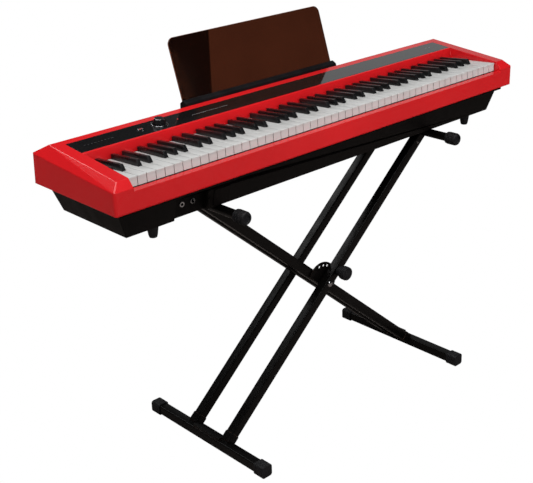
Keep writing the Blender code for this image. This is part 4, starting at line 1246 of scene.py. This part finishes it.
def make_arm_cap(node, sign):
    """A ribbed grip cap: plain collar, two bands of ribs with a groove between, hollow end."""
    settings = bpy.context.scene.piano_stand
    low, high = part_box(node)
    middle = (low + high) / 2
    long_side = high.y - low.y
    radius = (high.z - low.z) / 2
    base = (middle.x, low.y if sign > 0 else high.y, middle.z)
    core = radius - 0.0009
    barrel = core - 0.0006
    collar = long_side * 0.12
    curl = 0.0032
    hollow = long_side - 0.0025
    profile = [(0.0, 0.0), (0.0, barrel), (0.0006, core), (collar, core), (collar, barrel),
               (long_side - curl, barrel), *arc((long_side - curl, barrel - curl), curl, 90, 0, 6),
               (long_side, core * 0.62), (hollow, core * 0.56), (hollow, 0.0)]
    cap = turned(profile, base, (0, sign, 0), 48)
    ridge = [(-0.0014, -CAP_RIB_HALF), (0.0006, -CAP_RIB_HALF), (0.0009, 0.0), (0.0006, CAP_RIB_HALF),
             (-0.0014, CAP_RIB_HALF)]
    for first, last in ((0.14, 0.48), (0.53, 0.86)):
        span = (last - first) * long_side
        rib = prism(ridge, lambda a, b, t: (a, b, t), 0.0, span)
        place = Vector(base) + Vector((0, sign * first * long_side, 0))
        join_copy(cap, ring(rib, settings.ribs, core - 0.0002, place, (0, sign, 0), rubber()))
    settle(new_piece(f"{node}_grip", cap, rubber()), "black_rubber", node)


def make_pivots():
    for end, sign in (("front", -1), ("back", 1)):
        node = f"pivot_bolt_{end}"
        low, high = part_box(node)
        inner, tip = (high.y, low.y) if sign < 0 else (low.y, high.y)
        reach = abs(tip - inner)
        shank, washer, dome = 0.0040, 0.0080, 0.0040
        profile = [(0.0, 0.0), (0.0, 0.0072), (0.0048, 0.0072), (0.0050, shank), (reach - 0.0050, shank),
                   (reach - 0.0050, washer), (reach - dome, washer),
                   *[(reach - dome + dome * math.sin(a), 0.0076 * math.cos(a))
                     for a in (0.15, 0.4, 0.7, 1.0, 1.3)], (reach, 0.0)]
        bolt = turned(profile, (PIVOT.x, inner, PIVOT.z), (0, sign, 0), 32)
        settle(new_piece(f"domed_bolt_{end}", bolt, bright_metal()), "bright_steel", node)


def make_lock():
    """Notched disc on the inner tubes and the sprung pull knob on the outer front tube."""
    steel = painted_steel()
    disc = new_piece("hole_disc", cad_copy("locking_disc"), steel)
    soften(disc, where_sharp(0.0004), 2)
    settle(disc, "black_steel", "locking_disc")

    low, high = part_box("locking_knob")
    middle = (low + high) / 2
    head, pin, curl = 0.0336, 0.0034, 0.0024
    reach = high.y - low.y
    radius = (high.z - low.z) / 2 - 0.0008
    profile = [(0.0, 0.0), (0.0, radius * 0.55), (0.0008, radius * 0.60), (0.0008, radius * 0.80),
               *arc((curl, radius - curl), curl, 180, 90, 5), (head * 0.5, radius),
               *arc((head * 0.5, radius * 0.88), radius * 0.12, 80, 0, 4), (head * 0.94, radius * 0.68),
               (head, radius * 0.54), (head, pin), (reach, pin), (reach, 0.0)]
    knob = turned(profile, (middle.x, low.y, middle.z), (0, 1, 0), 48)
    ridge = [(-0.0012, -FLUTE_HALF), (0.0005, -FLUTE_HALF), (0.0009, 0.0), (0.0005, FLUTE_HALF),
             (-0.0012, FLUTE_HALF)]
    flute = prism(ridge, lambda a, b, t: (a, b, t), 0.0, 0.0135)
    place = (middle.x, low.y + 0.0028, middle.z)
    join_copy(knob, ring(flute, FLUTES, radius - 0.0003, place, (0, 1, 0), rubber()))
    settle(new_piece("pull_knob", knob, rubber()), "black_rubber", "locking_knob")

    dome = [(0.0, 0.0), (0.0, 0.0042), *arc((0.0, 0.0), 0.0030, 80, 20, 4), (0.0030, 0.0)]
    for name, outer in (("outer", True), ("inner", False)):
        arm, along = tube_line(outer)[1:3]
        rivets = bmesh.new()
        for end, sign in (("front", -1), ("back", 1)):
            face = centre(f"{name}_tube_{end}").y + sign * TUBE / 2
            spot = arm - along * RIVET_FROM_ARM
            join_copy(rivets, turned(dome, (spot.x, face, spot.z), (0, sign, 0), 20))
        settle(new_piece(f"{name}_rivets", rivets, dull_metal()), "bright_steel",
               body=body_of(f"{name}_tube_front"))


# ---------------------------------------------------------------- stage
CAMERA_AT = Vector((-1.7434, -1.7782, 1.5101))
CAMERA_RIGHT = Vector((0.7317, -0.68075, -0.03456))
CAMERA_UP = Vector((0.29283, 0.26816, 0.91779))
CAMERA_BACK = Vector((-0.61552, -0.68167, 0.39556))
SENSOR = 36.0
WHITE = (1.0, 1.0, 1.0, 1.0)
BEHIND = (0.62, 0.54, 0.56, 1.0)        # what the smoked rest shows of the studio behind it
PAINTED_SHADE_TONE = (0.03, 0.02, 0.02, 1.0)         # painted shade: the dark tone the rest shows of a sheet seen only through it
BOUNCE = (0.30, 0.26, 0.24)             # the floor's tone as it lights the object from below
DOME = (0.9, 0.95, 1.0, 1.0)
DOME_STRENGTH = 0.02
FLOOR_RADIUS = 14.0
# name, place, target, width and height, power in watts, shown in reflections
FILL_LIGHTS = (
    ("front_fill", (0.9, -3.6, 1.3), (0, 0, 0.6), (3.0, 1.6), 84.0, False),
    ("side_fill", (-3.8, -0.2, 1.4), (0, 0, 0.7), (1.8, 1.6), 36.0, False),
    ("back_card", (2.6, 2.4, 1.9), (0, 0, 0.8), (2.4, 1.2), 4.0, True),
    ("top_back", (-0.65, 2.3, 2.9), (0, 0, 0.8), (1.6, 0.8), 16.0, True),
)
# Place and size of the dark sheet that paints shade on the rest
SHADE_SHEET_CORNER = Vector((0.51, 0.97, 0.02))
SHADE_SHEET_WIDTH = 1.6
SHADE_SHEET_HEIGHT = 1.8


def blank_wires(owner):
    """Wires for the emptied node tree of a material or a world."""
    owner.use_nodes = True
    owner.node_tree.nodes.clear()
    return Wires(owner.node_tree)


def glow(wires, kind, tone, strength=1.0):
    return wires.add(kind, {}, {"Color": tone, "Strength": strength})[0]


def choose_by_ray(wires, lighting, through, seen):
    """The seen shader for the camera, through for light that comes by way of the rest, else lighting."""
    path = wires.add("ShaderNodeLightPath")
    bent = wires.add("ShaderNodeMixShader", {}, {
        0: path["Is Transmission Ray"], 1: lighting, 2: through})[0]
    return wires.add("ShaderNodeMixShader", {}, {0: path["Is Camera Ray"], 1: bent, 2: seen})[0]


def floor_shader():
    """White where the camera sees it, a dimmer uneven tone where it lights the object."""
    material = bpy.data.materials.new("pale_floor")
    wires = blank_wires(material)
    place = wires.add("ShaderNodeTexCoord")["Object"]
    drift = wires.noise(place, 1.5)
    tone = wires.mix(wires.span(drift, 0.3, 0.7), (*BOUNCE, 1.0), (*scaled(BOUNCE, 0.8), 1.0))
    seen = glow(wires, "ShaderNodeEmission", WHITE)
    lighting = wires.add("ShaderNodeBsdfDiffuse", {}, {"Color": tone})[0]
    through = glow(wires, "ShaderNodeEmission", BEHIND)
    mixed = choose_by_ray(wires, lighting, through, seen)
    wires.add("ShaderNodeOutputMaterial", {}, {"Surface": mixed})
    return material


# The dark glow of the sheet that paints shade on the rest
def painted_shade_shader():
    material = bpy.data.materials.new("painted_shade_sheet")
    wires = blank_wires(material)
    wires.add("ShaderNodeOutputMaterial", {}, {"Surface": glow(wires, "ShaderNodeEmission", PAINTED_SHADE_TONE)})
    return material


def add_world():
    """A white studio to the camera, which throws only a little light itself."""
    world = bpy.data.worlds.new("studio")
    bpy.context.scene.world = world
    wires = blank_wires(world)
    seen = glow(wires, "ShaderNodeBackground", WHITE)
    lighting = glow(wires, "ShaderNodeBackground", DOME, DOME_STRENGTH)
    through = glow(wires, "ShaderNodeBackground", BEHIND)
    mixed = choose_by_ray(wires, lighting, through, seen)
    wires.add("ShaderNodeOutputWorld", {}, {"Surface": mixed})


def add_light(name, place, target, size, power, reflected=True):
    data = bpy.data.lights.new(name, "AREA")
    data.shape = "RECTANGLE"
    data.size, data.size_y = size
    data.energy = power
    light = bpy.data.objects.new(name, data)
    light.location = place
    light.rotation_euler = (Vector(target) - Vector(place)).to_track_quat("-Z", "Y").to_euler()
    light.visible_glossy = reflected
    bpy.context.scene.collection.objects.link(light)


def add_painted_shade_sheet():
    """Painted shade on the rest: a dark sheet behind the object that only light through the rest meets, so
    the rest looks darker there.
    """
    corner = SHADE_SHEET_CORNER
    reach = Vector((-CAMERA_RIGHT.x, -CAMERA_RIGHT.y, 0)) * SHADE_SHEET_WIDTH
    rise = Vector((0, 0, SHADE_SHEET_HEIGHT))
    shade_sheet = bmesh.new()
    corners = (corner, corner + reach, corner + reach + rise, corner + rise)
    shade_sheet.faces.new([shade_sheet.verts.new(point) for point in corners])
    shade_flag = new_piece("dark_flag", shade_sheet, painted_shade_shader())
    shade_flag.visible_camera = False
    shade_flag.visible_diffuse = False
    shade_flag.visible_glossy = False
    shade_flag.visible_shadow = False


def add_camera(lens):
    data = bpy.data.cameras.new("camera")
    data.lens = lens
    data.sensor_width = SENSOR
    camera = bpy.data.objects.new("camera", data)
    turn = Matrix((CAMERA_RIGHT, CAMERA_UP, CAMERA_BACK)).transposed()
    camera.matrix_world = Matrix.Translation(CAMERA_AT) @ turn.to_4x4()
    bpy.context.scene.collection.objects.link(camera)
    bpy.context.scene.camera = camera
    bpy.context.scene.view_settings.view_transform = "Standard"


def make_stage():
    settings = bpy.context.scene.piano_stage
    disc = bmesh.new()
    bmesh.ops.create_circle(disc, cap_ends=True, segments=96, radius=FLOOR_RADIUS)
    floor = new_piece("floor", disc, floor_shader())
    add_world()
    add_light("key_above", (-0.6, -0.5, 3.2), (0, 0, 0.7), (2.6, 2.0), settings.key_light)
    for light in FILL_LIGHTS:
        add_light(*light)
    add_painted_shade_sheet()
    add_camera(settings.lens)


# ---------------------------------------------------------------- operators
class PIANO_OT_build_upper_case(bpy.types.Operator):
    """Red case round the keys"""

    bl_idname = "piano.build_upper_case"
    bl_label = "Upper case"
    bl_options = {"REGISTER", "UNDO"}

    def execute(self, context):
        make_upper_case()
        return {"FINISHED"}


class PIANO_OT_build_lower_case(bpy.types.Operator):
    """Black lower case, hooks and screws"""

    bl_idname = "piano.build_lower_case"
    bl_label = "Lower case"
    bl_options = {"REGISTER", "UNDO"}

    def execute(self, context):
        make_lower_case()
        return {"FINISHED"}


class PIANO_OT_build_control_strip(bpy.types.Operator):
    """Glossy strip, marks, knob, button and lamp"""

    bl_idname = "piano.build_control_strip"
    bl_label = "Control strip"
    bl_options = {"REGISTER", "UNDO"}

    def execute(self, context):
        make_control_strip()
        make_knob()
        make_button_and_lamp()
        return {"FINISHED"}


class PIANO_OT_build_music_rest(bpy.types.Operator):
    """Smoked rest and its rail"""

    bl_idname = "piano.build_music_rest"
    bl_label = "Music rest"
    bl_options = {"REGISTER", "UNDO"}

    def execute(self, context):
        make_music_rest()
        return {"FINISHED"}


class PIANO_OT_build_white_keys(bpy.types.Operator):
    """All 52 white keys"""

    bl_idname = "piano.build_white_keys"
    bl_label = "White keys"
    bl_options = {"REGISTER", "UNDO"}

    def execute(self, context):
        make_white_keys()
        return {"FINISHED"}


class PIANO_OT_build_black_keys(bpy.types.Operator):
    """All 36 black keys"""

    bl_idname = "piano.build_black_keys"
    bl_label = "Black keys"
    bl_options = {"REGISTER", "UNDO"}

    def execute(self, context):
        make_black_keys()
        return {"FINISHED"}


class PIANO_OT_build_sockets(bpy.types.Operator):
    """Front and rear sockets"""

    bl_idname = "piano.build_sockets"
    bl_label = "Sockets"
    bl_options = {"REGISTER", "UNDO"}

    def execute(self, context):
        make_sockets()
        return {"FINISHED"}


class PIANO_OT_build_rubber_feet(bpy.types.Operator):
    """Four feet under the case"""

    bl_idname = "piano.build_rubber_feet"
    bl_label = "Rubber feet"
    bl_options = {"REGISTER", "UNDO"}

    def execute(self, context):
        make_rubber_feet()
        return {"FINISHED"}


class PIANO_OT_build_inner_works(bpy.types.Operator):
    """Finishes of the parts inside"""

    bl_idname = "piano.build_inner_works"
    bl_label = "Inner works"
    bl_options = {"REGISTER", "UNDO"}

    def execute(self, context):
        dress_inner_works()
        return {"FINISHED"}


class PIANO_OT_build_tubes(bpy.types.Operator):
    """Four crossed square tubes"""

    bl_idname = "piano.build_tubes"
    bl_label = "Stand tubes"
    bl_options = {"REGISTER", "UNDO"}

    def execute(self, context):
        make_tubes()
        return {"FINISHED"}


class PIANO_OT_build_foot_bars(bpy.types.Operator):
    """Two foot bars and their caps"""

    bl_idname = "piano.build_foot_bars"
    bl_label = "Foot bars"
    bl_options = {"REGISTER", "UNDO"}

    def execute(self, context):
        make_foot_bars()
        return {"FINISHED"}


class PIANO_OT_build_arms(bpy.types.Operator):
    """Two arms and their ribbed caps"""

    bl_idname = "piano.build_arms"
    bl_label = "Arms"
    bl_options = {"REGISTER", "UNDO"}

    def execute(self, context):
        make_arms()
        return {"FINISHED"}


class PIANO_OT_build_pivots(bpy.types.Operator):
    """Pivot bolts, disc, pull knob and rivets"""

    bl_idname = "piano.build_pivots"
    bl_label = "Pivots and lock"
    bl_options = {"REGISTER", "UNDO"}

    def execute(self, context):
        make_pivots()
        make_lock()
        return {"FINISHED"}


class PIANO_OT_build_stage(bpy.types.Operator):
    """Floor, light and camera"""

    bl_idname = "piano.build_stage"
    bl_label = "Stage"
    bl_options = {"REGISTER", "UNDO"}

    def execute(self, context):
        make_stage()
        return {"FINISHED"}


OPERATORS = (
    PIANO_OT_build_upper_case,
    PIANO_OT_build_lower_case,
    PIANO_OT_build_control_strip,
    PIANO_OT_build_music_rest,
    PIANO_OT_build_white_keys,
    PIANO_OT_build_black_keys,
    PIANO_OT_build_sockets,
    PIANO_OT_build_rubber_feet,
    PIANO_OT_build_inner_works,
    PIANO_OT_build_tubes,
    PIANO_OT_build_foot_bars,
    PIANO_OT_build_arms,
    PIANO_OT_build_pivots,
    PIANO_OT_build_stage,
)
SETTINGS = {
    "piano_case": CaseSettings, "piano_strip": StripSettings, "piano_rest": RestSettings,
    "piano_keys": KeySettings, "piano_stand": StandSettings, "piano_stage": StageSettings,
}


class PIANO_PT_sidebar(bpy.types.Panel):
    """Lists the sizes, colours and building steps."""

    bl_label = "Piano"
    bl_idname = "PIANO_PT_sidebar"
    bl_space_type = "VIEW_3D"
    bl_region_type = "UI"
    bl_category = "Piano"

    def draw(self, context):
        for attribute, group in SETTINGS.items():
            box = self.layout.box()
            box.label(text=group.__doc__.rstrip("."))
            for name in group.__annotations__:
                box.prop(getattr(context.scene, attribute), name)
        for made in OPERATORS:
            self.layout.operator(made.bl_idname)


def register():
    for group in SETTINGS.values():
        bpy.utils.register_class(group)
    for made in OPERATORS:
        bpy.utils.register_class(made)
    bpy.utils.register_class(PIANO_PT_sidebar)
    for attribute, group in SETTINGS.items():
        setattr(bpy.types.Scene, attribute, PointerProperty(type=group))


def unregister():
    for attribute in SETTINGS:
        delattr(bpy.types.Scene, attribute)
    for made in (PIANO_PT_sidebar, *reversed(OPERATORS), *SETTINGS.values()):
        bpy.utils.unregister_class(made)


def main():
    register()
    for made in OPERATORS:
        group, name = made.bl_idname.split(".")
        getattr(getattr(bpy.ops, group), name)()


if __name__ == "__main__":
    main()
